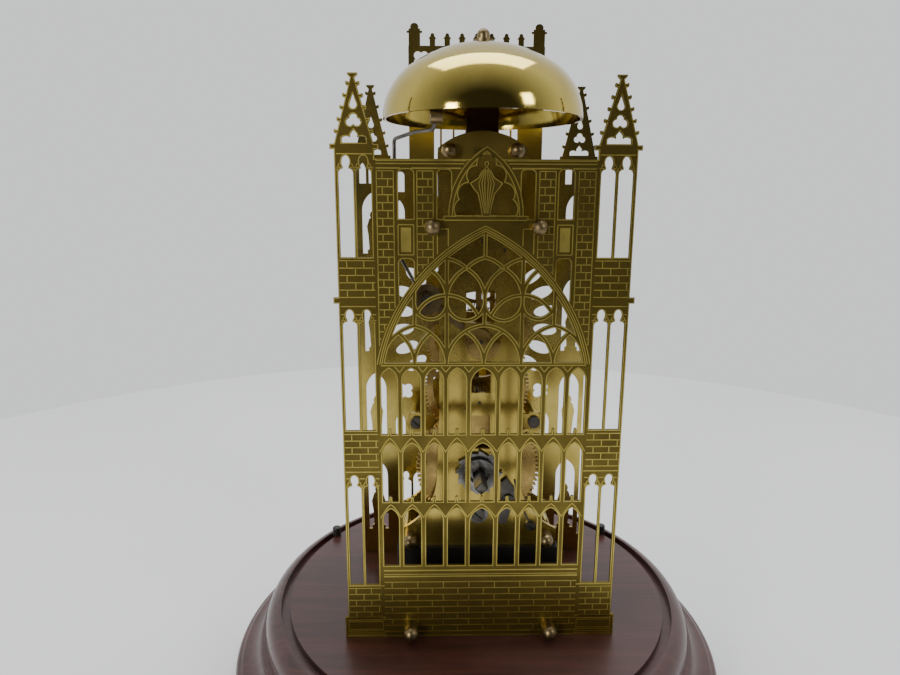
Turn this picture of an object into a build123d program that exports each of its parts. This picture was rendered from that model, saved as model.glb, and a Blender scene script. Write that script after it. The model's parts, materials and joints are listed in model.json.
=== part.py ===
"""Gothic skeleton clock: two pierced brass screens around a going movement on a turned wood base.

Units are millimetres and degrees. +Z is up, the origin is the centre of the feet's underside,
+Y points out of the dial side, and -Y out of the winding side. Heights written as h_... are
measured from the base's top surface, which is at base_top.
"""

import os
from math import asin, acos, atan2, cos, degrees, pi, radians, sin, sqrt

from build123d import *

os.makedirs("parts", exist_ok=True)

# ---------------------------------------------------------------- driving dimensions
base_top = 38.0  # base's top surface above the surface that the clock stands on
foot_height = 3.0
base_radius = 117.6
dome_groove_radius = 93.4
dome_groove_width = 4.2
dome_groove_depth = 3.0

screen_thickness = 1.0
rear_screen_y = -40.1  # inner face of the winding-side screen
front_screen_y = 31.0  # inner face of the dial-side screen
tower_x = 50.7
tower_half = 7.65
wall_half = 43.05
h_cornice = 206.5

plate_thickness = 2.0
rear_plate_y = -19.0  # outer face
front_plate_y = 9.0  # inner face
h_plate_foot = 32.0
h_plate_top = 219.0

h_barrel = 69.0
great_teeth, great_module = 80, 0.7
inter_pinion_teeth = 14
inter_teeth, inter_module = 80, 0.63
centre_pinion_teeth = 10
centre_teeth, centre_module = 80, 0.6
third_pinion_teeth = 10
third_teeth, third_module = 75, 0.38
fourth_pinion_teeth = 10
fourth_teeth, fourth_module = 70, 0.28
escape_pinion_teeth = 7
escape_teeth = 15
escape_radius = 5.4
cannon_teeth, minute_teeth, motion_module = 12, 36, 0.5
minute_pinion_teeth, hour_teeth, hour_module = 10, 40, 0.48
ratchet_teeth = 12

arbor_radius = 1.3
pivot_radius = 0.7
running_gap = 0.05

bell_y = -13.0
bell_radius = 41.5
h_bell_rim = 223.6
h_bell_apex = 253.7
side_arc = 24.9
bell_wall = 1.2

# arbor places, as (x, height above the base's top)
at_barrel = (0.0, h_barrel)
at_inter = (0.0, h_barrel + great_module * (great_teeth + inter_pinion_teeth) / 2)
at_centre = (0.0, at_inter[1] + inter_module * (inter_teeth + centre_pinion_teeth) / 2)
at_third = (0.0, at_centre[1] + centre_module * (centre_teeth + third_pinion_teeth) / 2)
third_reach = third_module * (third_teeth + fourth_pinion_teeth) / 2
at_fourth = (10.0, at_third[1] + sqrt(third_reach**2 - 10.0**2))
fourth_reach = fourth_module * (fourth_teeth + escape_pinion_teeth) / 2
at_escape = (0.0, at_fourth[1] + sqrt(fourth_reach**2 - 10.0**2))
at_lever = (0.0, at_escape[1] + 8.2)
at_balance = (0.0, at_lever[1] + 12.3)
motion_reach = motion_module * (cannon_teeth + minute_teeth) / 2
at_minute = (motion_reach, at_centre[1])
at_hammer = (-23.5, 149.4)
at_click = (13.6, 55.4)


# ---------------------------------------------------------------- shared helpers
def facing(y):
    """Vertical plane at y that looks out of the winding side: x is +X, y is height over the base's top."""
    return Plane(origin=(0, y, base_top), x_dir=(1, 0, 0), z_dir=(0, -1, 0))


def save(piece, name):
    """Label a finished piece and write it to its own file."""
    piece.label = name
    export_step(piece, f"parts/{name}.step")


def polar(radius, angle):
    """Point at a radius and an angle in degrees."""
    return (radius * cos(radians(angle)), radius * sin(radians(angle)))


def lancet(width, sill, spring, apex):
    """Pointed window: straight sides from sill to spring, then two arcs that meet at the apex."""
    half = width / 2
    rise = apex - spring
    radius = (half**2 + rise**2) / (2 * half)
    sweep = degrees(asin(min(1, rise / radius)))
    with BuildSketch() as face:
        with BuildLine():
            Line((half, sill), (-half, sill))
            if spring > sill:
                Line((half, spring), (half, sill))
                Line((-half, sill), (-half, spring))
            CenterArc((radius - half, spring), radius, 180, -sweep)
            CenterArc((half - radius, spring), radius, 0, sweep)
        make_face()
    return face.sketch


def cusped_light(width, sill, shoulder):
    """Tower light: rounded shoulders, a narrow neck and a pointed bulb over it."""
    half = width / 2
    neck = 1.1
    round_off = half - neck
    with BuildSketch() as face:
        with BuildLine():
            Line((half, shoulder), (half, sill))
            Line((half, sill), (-half, sill))
            Line((-half, sill), (-half, shoulder))
            CenterArc((-neck, shoulder), round_off, 180, -90)
            Line((-neck, shoulder + round_off), (neck, shoulder + round_off))
            CenterArc((neck, shoulder), round_off, 90, -90)
        make_face()
        with Locations((0, shoulder + round_off)):
            Rectangle(2 * neck, 1.6)
        with Locations((0, shoulder + round_off + 2.5)):
            Ellipse(1.6, 2.35)
    return face.sketch


def round_headed(width, sill, top, corner):
    """Window with a flat sill and well rounded upper corners."""
    with BuildSketch() as face:
        with Locations((0, (sill + top) / 2)):
            Rectangle(width, top - sill)
        fillet(face.vertices().group_by(Axis.Y)[-1], corner)
    return face.sketch


def statue(height):
    """Plain robed figure on a plinth, standing in a niche: only its outline is cut."""
    scale = height / 22
    outline = [(-2.9, 0), (2.9, 0), (2.9, 1.6), (2.0, 2.2), (2.4, 9.0), (3.0, 13.4), (1.9, 17.0), (0.9, 17.8)]
    with BuildSketch() as face:
        with BuildLine():
            for start, end in zip(outline, outline[1:]):
                Line((start[0] * scale, start[1] * scale), (end[0] * scale, end[1] * scale))
            Line((0.9 * scale, 17.8 * scale), (-0.9 * scale, 17.8 * scale))
            Line((-0.9 * scale, 17.8 * scale), (-1.9 * scale, 17.0 * scale))
            Line((-1.9 * scale, 17.0 * scale), (-3.0 * scale, 13.4 * scale))
            Line((-3.0 * scale, 13.4 * scale), (-2.4 * scale, 9.0 * scale))
            Line((-2.4 * scale, 9.0 * scale), (-2.0 * scale, 2.2 * scale))
            Line((-2.0 * scale, 2.2 * scale), (-2.9 * scale, 1.6 * scale))
            Line((-2.9 * scale, 1.6 * scale), (-2.9 * scale, 0))
        make_face()
        with Locations((0, 19.0 * scale)):
            Ellipse(1.45 * scale, 1.8 * scale)
    return face.sketch


def niche(width, sill, apex, figure):
    """Pointed niche opening round a standing figure, which leans on the sill."""
    spring = apex - 0.85 * width
    with BuildSketch() as face:
        add(lancet(width, sill, spring, apex))
        with Locations((0, sill)):
            add(statue(figure), mode=Mode.SUBTRACT)
    return face.sketch


def pinnacle(half, tall, knob):
    """Crocketed gable that crowns a tower, standing on y = 0, with three pierced lights."""
    crockets = 5
    with BuildSketch() as face:
        with BuildLine():
            Polyline((-half, 0), (half, 0), (0.8, tall - 1.8), (knob, tall - 0.7), (knob, tall))
            Polyline((knob, tall), (-knob, tall), (-knob, tall - 0.7), (-0.8, tall - 1.8), (-half, 0))
        make_face()
        for step in range(crockets):
            height = 4.0 + step * (tall - 8.4) / (crockets - 1)
            edge = half - (half - 0.8) * height / (tall - 1.8)
            for side in (-1, 1):
                with Locations((side * (edge + 0.2), height + 0.5)):
                    Ellipse(0.95, 0.7)
                with Locations((side * (edge + 0.7), height + 1.0)):
                    Circle(0.45)
        with Locations((0, 14.2)):
            Circle(1.35, mode=Mode.SUBTRACT)
        with BuildLine():
            Polyline((-1.3, 14.5), (1.3, 14.5), (0, 18.2), (-1.3, 14.5))
        make_face(mode=Mode.SUBTRACT)
        with Locations((0, 9.6), (-1.35, 8.0), (1.35, 8.0)):
            Circle(1.4, mode=Mode.SUBTRACT)
        with Locations((0, 8.6)):
            Circle(1.3, mode=Mode.SUBTRACT)
        with Locations((0, 1.2)):
            Rectangle(9.2, 1.4, mode=Mode.SUBTRACT)
        with Locations((-2.9, 1.9), (2.9, 1.9)):
            Ellipse(1.7, 0.95, mode=Mode.SUBTRACT)
        with BuildLine():
            Polyline((-1.5, 1.0), (1.5, 1.0), (1.3, 3.6), (0, 5.2), (-1.3, 3.6), (-1.5, 1.0))
        make_face(mode=Mode.SUBTRACT)
    return face.sketch


def rib(width, edge):
    """Stone rib of a tracery: a band of constant width along one line or arc."""
    with BuildSketch() as face:
        trace(edge, line_width=width)
    return face.sketch


def arch_ribs(centre, foot, half, rise, width):
    """Two-centred arch with two sub-arches sprung from a middle foot, as ribs of one width."""
    radius = (half**2 + rise**2) / (2 * half)
    whole = degrees(asin(rise / radius))
    # the middle foot's arcs stop where they meet the outer ones
    part = degrees(acos((radius - half / 2) / radius))
    lines = []
    for side in (-1, 1):
        start = 0 if side > 0 else 180
        lines.append(CenterArc((centre + side * (half - radius), foot), radius, start, side * whole))
        lines.append(CenterArc((centre - side * radius, foot), radius, start, side * part))
    return [rib(width, line) for line in lines]


def toothed(teeth, module, thick, tip, root, phase):
    """Clock tooth form: radial flanks to the pitch circle, one rounded tip, and a flat root."""
    pitch_radius = teeth * module / 2
    half_tooth = degrees(thick * module / 2 / pitch_radius)
    with BuildSketch() as face:
        with BuildLine():
            for tooth in range(teeth):
                middle = phase + 360 * tooth / teeth
                following = phase + 360 * (tooth + 1) / teeth
                low = polar(pitch_radius - root * module, middle - half_tooth)
                start = polar(pitch_radius, middle - half_tooth)
                top = polar(pitch_radius + tip * module, middle)
                end = polar(pitch_radius, middle + half_tooth)
                down = polar(pitch_radius - root * module, middle + half_tooth)
                Line(low, start)
                ThreePointArc(start, top, end)
                Line(end, down)
                Line(down, polar(pitch_radius - root * module, following - half_tooth))
        make_face()
    return face.sketch


def wheel(teeth, module, phase, rim, spokes, hub, bore):
    """Brass wheel: clock teeth, a rim, straight spokes and a hub with a bore."""
    root_radius = teeth * module / 2 - 1.5 * module
    with BuildSketch() as face:
        add(toothed(teeth, module, 1.35, 1.0, 1.5, phase))
        if spokes:
            Circle(root_radius - rim, mode=Mode.SUBTRACT)
            for spoke in range(spokes):
                with Locations(Rotation(0, 0, phase + 90 + spoke * 360 / spokes)):
                    with Locations((root_radius / 2, 0)):
                        Rectangle(root_radius - rim / 2, 1.5 + 0.05 * root_radius)
            Circle(hub)
        Circle(bore, mode=Mode.SUBTRACT)
    return face.sketch


def pinion(teeth, module, phase):
    """Steel pinion leaves, with no bore."""
    return toothed(teeth, module, 1.0, 0.55, 1.75, phase)


def meshed_phase(place, teeth, phase, next_place, next_teeth):
    """Phase of a driven gear whose gap takes the driving gear's tooth, in mesh at rest."""
    across = next_place[0] - place[0]
    up = next_place[1] - place[1]
    line = degrees(atan2(up, across))
    return line + 180 - (phase - line) * teeth / next_teeth + 180 / next_teeth


# each wheel's first tooth angle; a pinion's phase follows from the wheel that drives it
great_phase = 0.0
inter_phase = 0.0
centre_phase = 0.0
third_phase = 0.0
fourth_phase = 0.0
inter_pinion_phase = meshed_phase(at_barrel, great_teeth, great_phase, at_inter, inter_pinion_teeth)
centre_pinion_phase = meshed_phase(at_inter, inter_teeth, inter_phase, at_centre, centre_pinion_teeth)
third_pinion_phase = meshed_phase(at_centre, centre_teeth, centre_phase, at_third, third_pinion_teeth)
fourth_pinion_phase = meshed_phase(at_third, third_teeth, third_phase, at_fourth, fourth_pinion_teeth)
escape_pinion_phase = meshed_phase(at_fourth, fourth_teeth, fourth_phase, at_escape, escape_pinion_teeth)
minute_phase = meshed_phase(at_centre, cannon_teeth, 0.0, at_minute, minute_teeth)
hour_phase = meshed_phase(at_minute, minute_pinion_teeth, 0.0, at_centre, hour_teeth)

# ---------------------------------------------------------------- turned base
with BuildPart() as base:
    with BuildSketch(Plane.XZ):
        with BuildLine():
            Polyline((0, foot_height), (113.0, foot_height), (115.4, foot_height + 1.2), (115.4, 8.2))
            ThreePointArc((115.4, 8.2), (base_radius, 10.7), (115.4, 13.2))
            Line((115.4, 13.2), (114.2, 14.0))
            ThreePointArc((114.2, 14.0), (107.2, 17.6), (104.9, 25.0))
            Polyline((104.9, 25.0), (103.2, 25.6), (102.8, 28.9))
            ThreePointArc((102.8, 28.9), (101.4, 34.6), (96.8, base_top))
            Line((96.8, base_top), (0, base_top))
            Line((0, base_top), (0, foot_height))
        make_face()
    revolve(axis=Axis.Z)
    with BuildSketch(Plane.XY.offset(base_top)):
        Circle(dome_groove_radius + dome_groove_width / 2)
        Circle(dome_groove_radius - dome_groove_width / 2, mode=Mode.SUBTRACT)
    extrude(amount=-dome_groove_depth, mode=Mode.SUBTRACT)
    # counterbored holes for the bolts that come up from beneath, and sockets for the dome pegs
    with Locations(Plane.XY.offset(foot_height).rotated((180, 0, 0))):
        with Locations((-31.5, 4.0), (31.5, 4.0)):
            CounterBoreHole(radius=2.1, counter_bore_radius=5.0, counter_bore_depth=6.0)
    with Locations(Plane.XY.offset(base_top)):
        with Locations((-77.0, 50.0), (77.0, 50.0), (0, -88.0)):
            Hole(radius=1.6, depth=9.0)
save(base.part, "base")

with BuildPart() as foot_pads:
    with BuildSketch():
        with PolarLocations(98.0, 4, start_angle=45):
            Circle(9.0)
    extrude(amount=foot_height)
    fillet(foot_pads.edges().group_by(Axis.Z)[0], 0.6)
save(foot_pads.part, "foot_pads")

peg_places = [(-77.0, 50.0), (77.0, 50.0), (0, -88.0)]
with BuildPart() as dome_pegs:
    with BuildSketch(Plane.XY.offset(base_top - 8.0)):
        with Locations(*peg_places):
            Circle(1.55)
    extrude(amount=8.0)
    with BuildSketch(Plane.XY.offset(base_top)):
        with Locations(*peg_places):
            Circle(2.4)
    extrude(amount=5.2)
    fillet(dome_pegs.edges().group_by(Axis.Z)[-1], 1.1)
save(dome_pegs.part, "dome_pegs")

# ---------------------------------------------------------------- plinth block under the movement
block_half = 37.6
block_rear_y = -21.5
block_front_y = 13.5
pillar_low = (31.5, 36.2)
pillar_high = (14.0, 211.0)
seat_bolt_y = -4.0
screw_socket = 1.55
screen_ball = 3.2
front_screen_face = front_screen_y + screen_thickness
dome_nut_radius = 3.3
screen_nut_low = (30.5, 4.5)
with BuildPart() as plinth_block:
    with BuildSketch(Plane.XY.offset(base_top)):
        with Locations((0, (block_rear_y + block_front_y) / 2)):
            Rectangle(2 * block_half, block_front_y - block_rear_y)
    extrude(amount=h_plate_foot)
    fillet(plinth_block.edges().filter_by(Axis.Z), 1.0)
    with Locations(Plane.XY.offset(base_top)):
        with Locations((-pillar_low[0], seat_bolt_y), (pillar_low[0], seat_bolt_y)):
            Hole(radius=2.1)
    with Locations(facing(block_rear_y)):
        with Locations((-screen_nut_low[0], screen_nut_low[1]), screen_nut_low):
            Hole(radius=screw_socket, depth=8.0)
    with Locations(Plane(origin=(0, block_front_y, base_top), x_dir=(-1, 0, 0), z_dir=(0, 1, 0))):
        with Locations((-screen_nut_low[0], screen_nut_low[1]), screen_nut_low):
            Hole(radius=screw_socket, depth=8.0)
save(plinth_block.part, "plinth_block")

with BuildPart() as seat_bolts:
    with BuildSketch(Plane.XY.offset(foot_height + 1.6)):
        with Locations((-pillar_low[0], seat_bolt_y), (pillar_low[0], seat_bolt_y)):
            Circle(4.2)
    extrude(amount=4.3)
    with BuildSketch(Plane.XY.offset(foot_height + 1.6)):
        with Locations((-pillar_low[0], seat_bolt_y), (pillar_low[0], seat_bolt_y)):
            Rectangle(8.6, 1.0)
    extrude(amount=1.5, mode=Mode.SUBTRACT)
    with BuildSketch(Plane.XY.offset(foot_height + 5.9)):
        with Locations((-pillar_low[0], seat_bolt_y), (pillar_low[0], seat_bolt_y)):
            Circle(1.9)
    extrude(amount=base_top + pillar_low[1] - foot_height - 5.9)
save(seat_bolts.part, "seat_bolts")

# ---------------------------------------------------------------- winding-side screen
arch_foot = 125.4
arch_centre = (31.6, 111.6)  # each side's arc is struck from the other side's centre
arch_radius = 76.6
arch_band = 3.2
inner_apex = arch_centre[1] + sqrt((arch_radius - arch_band) ** 2 - arch_centre[0] ** 2)
rib_width = 1.7
mullions = [6.05, 15.55, 24.95, 34.45, 43.2]
mullion_width = 2.2
screen_nut_high = (20.8, 180.7)


def big_arch(radius, foot):
    """Pointed arch struck from the two low centres, closed by a level line at its foot."""
    drop = foot - arch_centre[1]
    half = sqrt(radius**2 - drop**2) - arch_centre[0]
    apex = arch_centre[1] + sqrt(radius**2 - arch_centre[0] ** 2)
    middle = radians((degrees(asin(drop / radius)) + degrees(acos(arch_centre[0] / radius))) / 2)
    shoulder = (radius * cos(middle) - arch_centre[0], arch_centre[1] + radius * sin(middle))
    with BuildSketch() as face:
        with BuildLine():
            ThreePointArc((half, foot), shoulder, (0, apex))
            ThreePointArc((0, apex), (-shoulder[0], shoulder[1]), (-half, foot))
            Line((-half, foot), (half, foot))
        make_face()
    return face.sketch


lights_below = []
mullion_places = [-m for m in reversed(mullions)] + mullions
left_edges = [place + mullion_width / 2 for place in mullion_places[:-1]]
right_edges = [place - mullion_width / 2 for place in mullion_places[1:]]
for left, right in zip(left_edges, right_edges):
    light_width = right - left
    middle = (left + right) / 2
    for sill, apex in ((95.2, 123.6), (64.9, 91.2), (34.9, 61.6)):
        head = 5.2 if light_width < 8 else 6.6
        lights_below.append(Pos(middle, 0) * lancet(light_width, sill, apex - head, apex))

tracery = []
for line in (
    Line((0, 141.4), (0, 156.2)),
    Line((0, 168.6), (0, inner_apex + 0.6)),
    CenterArc((7.6, 151.2), 7.6, 180, 180),
    CenterArc((21.7, 150.6), 6.5, 180, 180),
    CenterArc((15.2, 140.5), 13.4, 27, 130),
    CenterArc((0.8, 152.0), 14.4, 0, 62.5),
    CenterArc((14.4, 152.0), 14.4, 180, -60.0),
    CenterArc((29.6, 152.0), 14.4, 180, -55.0),
    ThreePointArc((0, 168.9), (3.7, 167.5), (7.35, 164.6)),
    ThreePointArc((7.35, 164.6), (11.0, 167.1), (15.2, 168.4)),
    Line((15.2, arch_foot), (15.2, 170.2)),
    Line((28.2, 141.2), (28.2, 156.0)),
):
    tracery.append(rib(rib_width, line))
tracery += arch_ribs(28.25, arch_foot, 13.05, 16.0, rib_width)
tracery_left = [mirror(piece, about=Plane.YZ) for piece in tracery]
tracery += tracery_left + arch_ribs(0, arch_foot, 15.2, 16.2, rib_width)

big_opening = big_arch(arch_radius - arch_band, arch_foot + 0.8)

with BuildSketch() as gable_opening:
    with Locations((0, 204.6)):
        Circle(3.6)
    add(lancet(5.6, 203.0, 204.0, 208.4))
    for lobe_x, lobe_height, lobe_radius in ((3.9, 200.4, 3.5), (6.9, 193.5, 4.0), (7.9, 187.6, 4.3)):
        with Locations((-lobe_x, lobe_height), (lobe_x, lobe_height)):
            Circle(lobe_radius)
    with Locations((0, 193.0)):
        Rectangle(13.6, 15.0)
    with Locations((0, 182.8)):
        Rectangle(40.0, 5.0, mode=Mode.SUBTRACT)

robe = [
    (0, 203.9),
    (1.9, 202.1),
    (3.2, 199.7),
    (6.6, 197.5),
    (5.0, 195.2),
    (3.4, 193.4),
    (2.5, 189.6),
    (1.5, 184.0),
]
with BuildSketch() as gable_figure:
    with BuildLine():
        Polyline(robe + [(-x, height) for x, height in reversed(robe[1:])] + [robe[0]])
    make_face()
    with Locations((0, 204.8)):
        Circle(1.0)

with BuildPart() as rear_screen:
    with BuildSketch(facing(rear_screen_y)):
        with Locations((0, h_cornice / 2)):
            Rectangle(2 * wall_half, h_cornice)
        add(Pos(0, 185.2) * lancet(29.6, 0, 0, 26.2))
        with Locations((-tower_x, 0), (tower_x, 0)):
            with Locations((0, 106.0)):
                Rectangle(2 * tower_half, 212.0)
            with Locations((0, 5.0)):
                Rectangle(18.2, 10.0)
            with Locations((0, 151.7)):
                Rectangle(19.4, 2.5)
            with Locations((0, 210.9)):
                Rectangle(18.6, 2.0)
        add([Pos(side * tower_x, 211.8) * pinnacle(7.5, 25.6, 1.9) for side in (-1, 1)])
        # tower lights, two to a stage, in three stages
        stages = ((168.9, 201.0), (97.0, 141.3), (25.8, 70.3))
        lights = [
            Pos(side * tower_x + across, 0) * cusped_light(5.7, sill, shoulder)
            for side in (-1, 1)
            for across in (-3.42, 3.42)
            for sill, shoulder in stages
        ]
        add(lights, mode=Mode.SUBTRACT)
        # wall openings beside the gable and above the big arch
        walls = [Pos(side * 31.2, 0) * round_headed(5.8, 183.9, 202.6, 1.8) for side in (-1, 1)]
        walls += [Pos(side * 31.2, 0) * round_headed(5.8, 140.0, 168.2, 1.8) for side in (-1, 1)]
        walls += [Pos(side * 16.3, 0) * round_headed(5.2, 183.9, 202.4, 1.6) for side in (-1, 1)]
        add(walls, mode=Mode.SUBTRACT)
        # the big arch and the gable band close over the ends of those openings
        add(big_arch(arch_radius, arch_foot))
        add(Pos(0, 185.2) * lancet(29.6, 0, 0, 26.2))
        with Locations((0, 184.1)):
            Rectangle(33.4, 2.2)
        add(big_opening, mode=Mode.SUBTRACT)
        add(tracery)
        add(gable_opening.sketch, mode=Mode.SUBTRACT)
        add(gable_figure.sketch)
        add(lights_below, mode=Mode.SUBTRACT)
        # small finials stand on the two transoms
        for light_x in [(a + b) / 2 for a, b in zip(left_edges, right_edges)]:
            for transom in (95.2, 64.9):
                with Locations((light_x, transom + 0.4)):
                    Rectangle(1.4, 1.6)
                with Locations((light_x, transom + 1.7)):
                    Circle(0.7)
        with Locations(*[(side * x, h) for side in (-1, 1) for x, h in (screen_nut_high, screen_nut_low)]):
            Circle(1.6, mode=Mode.SUBTRACT)
    extrude(amount=screen_thickness)
save(rear_screen.part, "rear_screen")

# ---------------------------------------------------------------- dial-side screen
motion_opening = 18.0
ring_inner = 19.0
ring_outer = 30.2
h_parapet = 262.0
inner_tower = 32.4  # outer edge of the lantern tower, either side of the middle
dial_pillar = (29.2, 83.0)


def quatrefoil(width):
    """Four-lobed piercing of a parapet or spandrel."""
    with BuildSketch() as face:
        with PolarLocations(0.27 * width, 4, start_angle=45):
            Circle(0.23 * width)
        Circle(0.3 * width)
    return face.sketch


def finial(width, foot, top):
    """Small shaft with a moulded cap and a bud, standing on a parapet."""
    with BuildSketch() as face:
        with Locations((0, (foot + top) / 2 - 0.12 * (top - foot))):
            Rectangle(width, 0.76 * (top - foot))
        with Locations((0, foot + 0.62 * (top - foot))):
            Rectangle(1.35 * width, 0.09 * (top - foot))
        with Locations((0, top - 0.17 * (top - foot))):
            Ellipse(0.36 * width, 0.17 * (top - foot))
    return face.sketch


portal_ribs = [rib(1.8, Line((-12.6, 44.0), (12.6, 44.0))), rib(2.0, Line((0, 13.0), (0, 45.0)))]
portal_ribs += arch_ribs(0, 44.0, 12.6, 15.0, 1.6)

with BuildPart() as front_screen:
    with BuildSketch(facing(front_screen_face)):
        with Locations((0, 103.0)):
            Rectangle(2 * wall_half, 206.0)
        with Locations((0, 224.0)):
            Rectangle(2 * inner_tower, 2 * (h_parapet - 224.0))
        with Locations((-tower_x, 0), (tower_x, 0)):
            with Locations((0, 106.0)):
                Rectangle(2 * tower_half, 212.0)
            for height, wide in ((5.0, 18.2), (62.0, 17.6), (110.0, 17.6), (160.0, 17.6), (210.9, 18.6)):
                with Locations((0, height)):
                    Rectangle(wide, 2.0 if height > 5 else 10.0)
        add([Pos(side * tower_x, 211.8) * pinnacle(8.2, 32.5, 1.9) for side in (-1, 1)])
        add([Pos(7.0 * step, 0) * finial(2.6, h_parapet - 0.3, 267.6) for step in range(-2, 3)])
        add([Pos(side * 21.0, 0) * finial(2.6, h_parapet - 0.3, 267.6) for side in (-1, 1)])
        add([Pos(side * 29.5, 0) * finial(5.4, h_parapet - 0.3, 272.0) for side in (-1, 1)])
        for side in (-1, 1):
            # outer towers: three small lights under the pinnacle, then niches with figures
            cuts = [
                Pos(side * tower_x + step * 4.6, 0) * lancet(3.2, 198.6, 204.6, 208.4) for step in (-1, 0, 1)
            ]
            cuts += [Pos(side * tower_x, 0) * niche(10.4, 164.4, 194.4, 22.0)]
            cuts += [Pos(side * tower_x, 0) * niche(10.4, 114.0, 152.4, 25.0)]
            cuts += [Pos(side * tower_x, 0) * niche(10.4, 66.0, 102.6, 25.0)]
            cuts += [Pos(side * tower_x, 0) * niche(10.4, 14.0, 54.0, 27.0)]
            # strip of wall between the towers, beside and above the dial
            cuts += [Pos(side * 37.4, 0) * round_headed(5.0, 194.6, 204.2, 1.8)]
            cuts += [Pos(side * 37.4, 0) * lancet(5.0, 172.0, 184.4, 190.6)]
            # inner tower: plain up to the bell, then a pair of tall lights and a quatrefoil
            cuts += [Pos(side * 26.4 + step * 2.7, 0) * lancet(3.6, 229.0, 245.0, 250.0) for step in (-1, 1)]
            cuts += [Pos(side * 26.4, 256.2) * quatrefoil(8.0)]
            # flanking portal under the dial: two cusped lights under a pointed hood
            cuts += [Pos(side * 22.4, 0) * cusped_light(5.4, 14.0, 41.0)]
            cuts += [Pos(side * 35.6, 0) * cusped_light(5.4, 14.0, 41.0)]
            cuts += [Pos(side * 29.0, 0) * niche(5.4, 14.0, 47.4, 22.0)]
            cuts += [Pos(side * 38.2, 0) * lancet(5.0, 61.4, 75.0, 80.6)]
            add(cuts, mode=Mode.SUBTRACT)
        # lantern lights behind the bell, in two tiers, between thin mullions
        tall = [
            lancet(8.4, sill, head - 7.6, head) for sill, head in ((208.0, 250.0), (192.4, 204.4))
        ]
        for side in (-1, 1):
            for x, wide in ((7.75, 5.2), (13.85, 5.2), (18.8, 2.8)):
                tall += [Pos(side * x, 0) * lancet(wide, 208.0, 250.0 - wide, 250.0)]
                tall += [Pos(side * x, 0) * lancet(wide, 192.4, 204.4 - wide, 204.4)]
        add(tall, mode=Mode.SUBTRACT)
        foils = [Pos(6.0 * step, 256.2) * quatrefoil(5.6) for step in range(-3, 4)]
        foils += [Pos(6.6 * step, 184.4) * quatrefoil(6.2) for step in range(-2, 3)]
        foils += [Pos(side * 35.6, h) * quatrefoil(9.0) for side in (-1, 1) for h in (167.6, 92.6)]
        add(foils, mode=Mode.SUBTRACT)
        # middle portal: two lights, a figure on the middle shaft and a foiled head
        add(lancet(25.0, 14.0, 46.0, 66.0), mode=Mode.SUBTRACT)
        add(portal_ribs)
        add(Pos(0, 19.0) * statue(20.0))
        # row of small lights between portals and dial
        row = [Pos(4.6 * step, 0) * lancet(3.4, 70.4, 77.0, 81.0) for step in (-3, -2, -1, 0, 1, 2, 3)]
        add(row, mode=Mode.SUBTRACT)
        # wheel window: leaf-shaped lights round the chapter ring, and a round opening inside it
        with Locations((0, at_centre[1])):
            Circle(motion_opening, mode=Mode.SUBTRACT)
            with PolarLocations(37.2, 24, start_angle=7.5):
                Ellipse(6.0, 2.9, mode=Mode.SUBTRACT)
            with PolarLocations((ring_inner + ring_outer) / 2, 4, start_angle=45):
                Circle(0.75, mode=Mode.SUBTRACT)
        holes = [(side * x, h) for side in (-1, 1) for x, h in (screen_nut_high, screen_nut_low, dial_pillar)]
        with Locations(*holes):
            Circle(1.6, mode=Mode.SUBTRACT)
    extrude(amount=screen_thickness)
save(front_screen.part, "front_screen")

with BuildPart() as chapter_ring:
    with BuildSketch(facing(front_screen_y + 2.2)):
        with Locations((0, at_centre[1])):
            Circle(ring_outer)
            Circle(ring_inner, mode=Mode.SUBTRACT)
            with PolarLocations((ring_inner + ring_outer) / 2, 4, start_angle=45):
                Circle(0.75, mode=Mode.SUBTRACT)
    extrude(amount=1.2)
    # plain hour batons and minute dots, engraved in the ring's face
    with BuildSketch(facing(front_screen_y + 2.2)):
        with Locations((0, at_centre[1])):
            with PolarLocations(24.2, 12):
                Rectangle(5.6, 1.3)
            with PolarLocations(28.8, 60):
                Circle(0.32)
    extrude(amount=0.25, mode=Mode.SUBTRACT)
save(chapter_ring.part, "chapter_ring")


def rods(places, radius, rear, front):
    """Round bars along Y, from the rear y to the front y."""
    with BuildPart() as bars:
        with BuildSketch(facing(front)):
            with Locations(*places):
                Circle(radius)
        extrude(amount=front - rear)
    return bars.part


def slab(place, outline, rear, front):
    """Flat piece with an outline centred on a place, from the rear y to the front y."""
    with BuildPart() as piece:
        with BuildSketch(facing(front)):
            add(Pos(*place) * outline)
        extrude(amount=front - rear)
    return piece.part


def ball_nut(place, seat, out, radius, bore):
    """Ball nut on a face at y = seat, that points out along Y, with a threaded blind hole."""
    middle = base_top + place[1]
    with BuildPart() as nut:
        with Locations((place[0], seat + out * 0.8 * radius, middle)):
            Sphere(radius)
        with Locations((place[0], seat - out * radius, middle)):
            Box(3 * radius, 2 * radius, 3 * radius, mode=Mode.SUBTRACT)
        with Locations((place[0], seat + out * 1.5, middle)):
            Cylinder(bore, 3.0, rotation=(90, 0, 0), mode=Mode.SUBTRACT)
    return nut.part


def dome_nut(place, seat, out, radius, bore):
    """Tall round nut with a domed end, on a face at y = seat."""
    middle = base_top + place[1]
    tall = 4.4
    with BuildPart() as nut:
        with Locations((place[0], seat + out * tall / 2, middle)):
            Cylinder(radius, tall, rotation=(90, 0, 0))
        with Locations((place[0], seat + out * tall, middle)):
            Sphere(radius)
        with Locations((place[0], seat + out * 1.5, middle)):
            Cylinder(bore, 3.0, rotation=(90, 0, 0), mode=Mode.SUBTRACT)
    return nut.part


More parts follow.
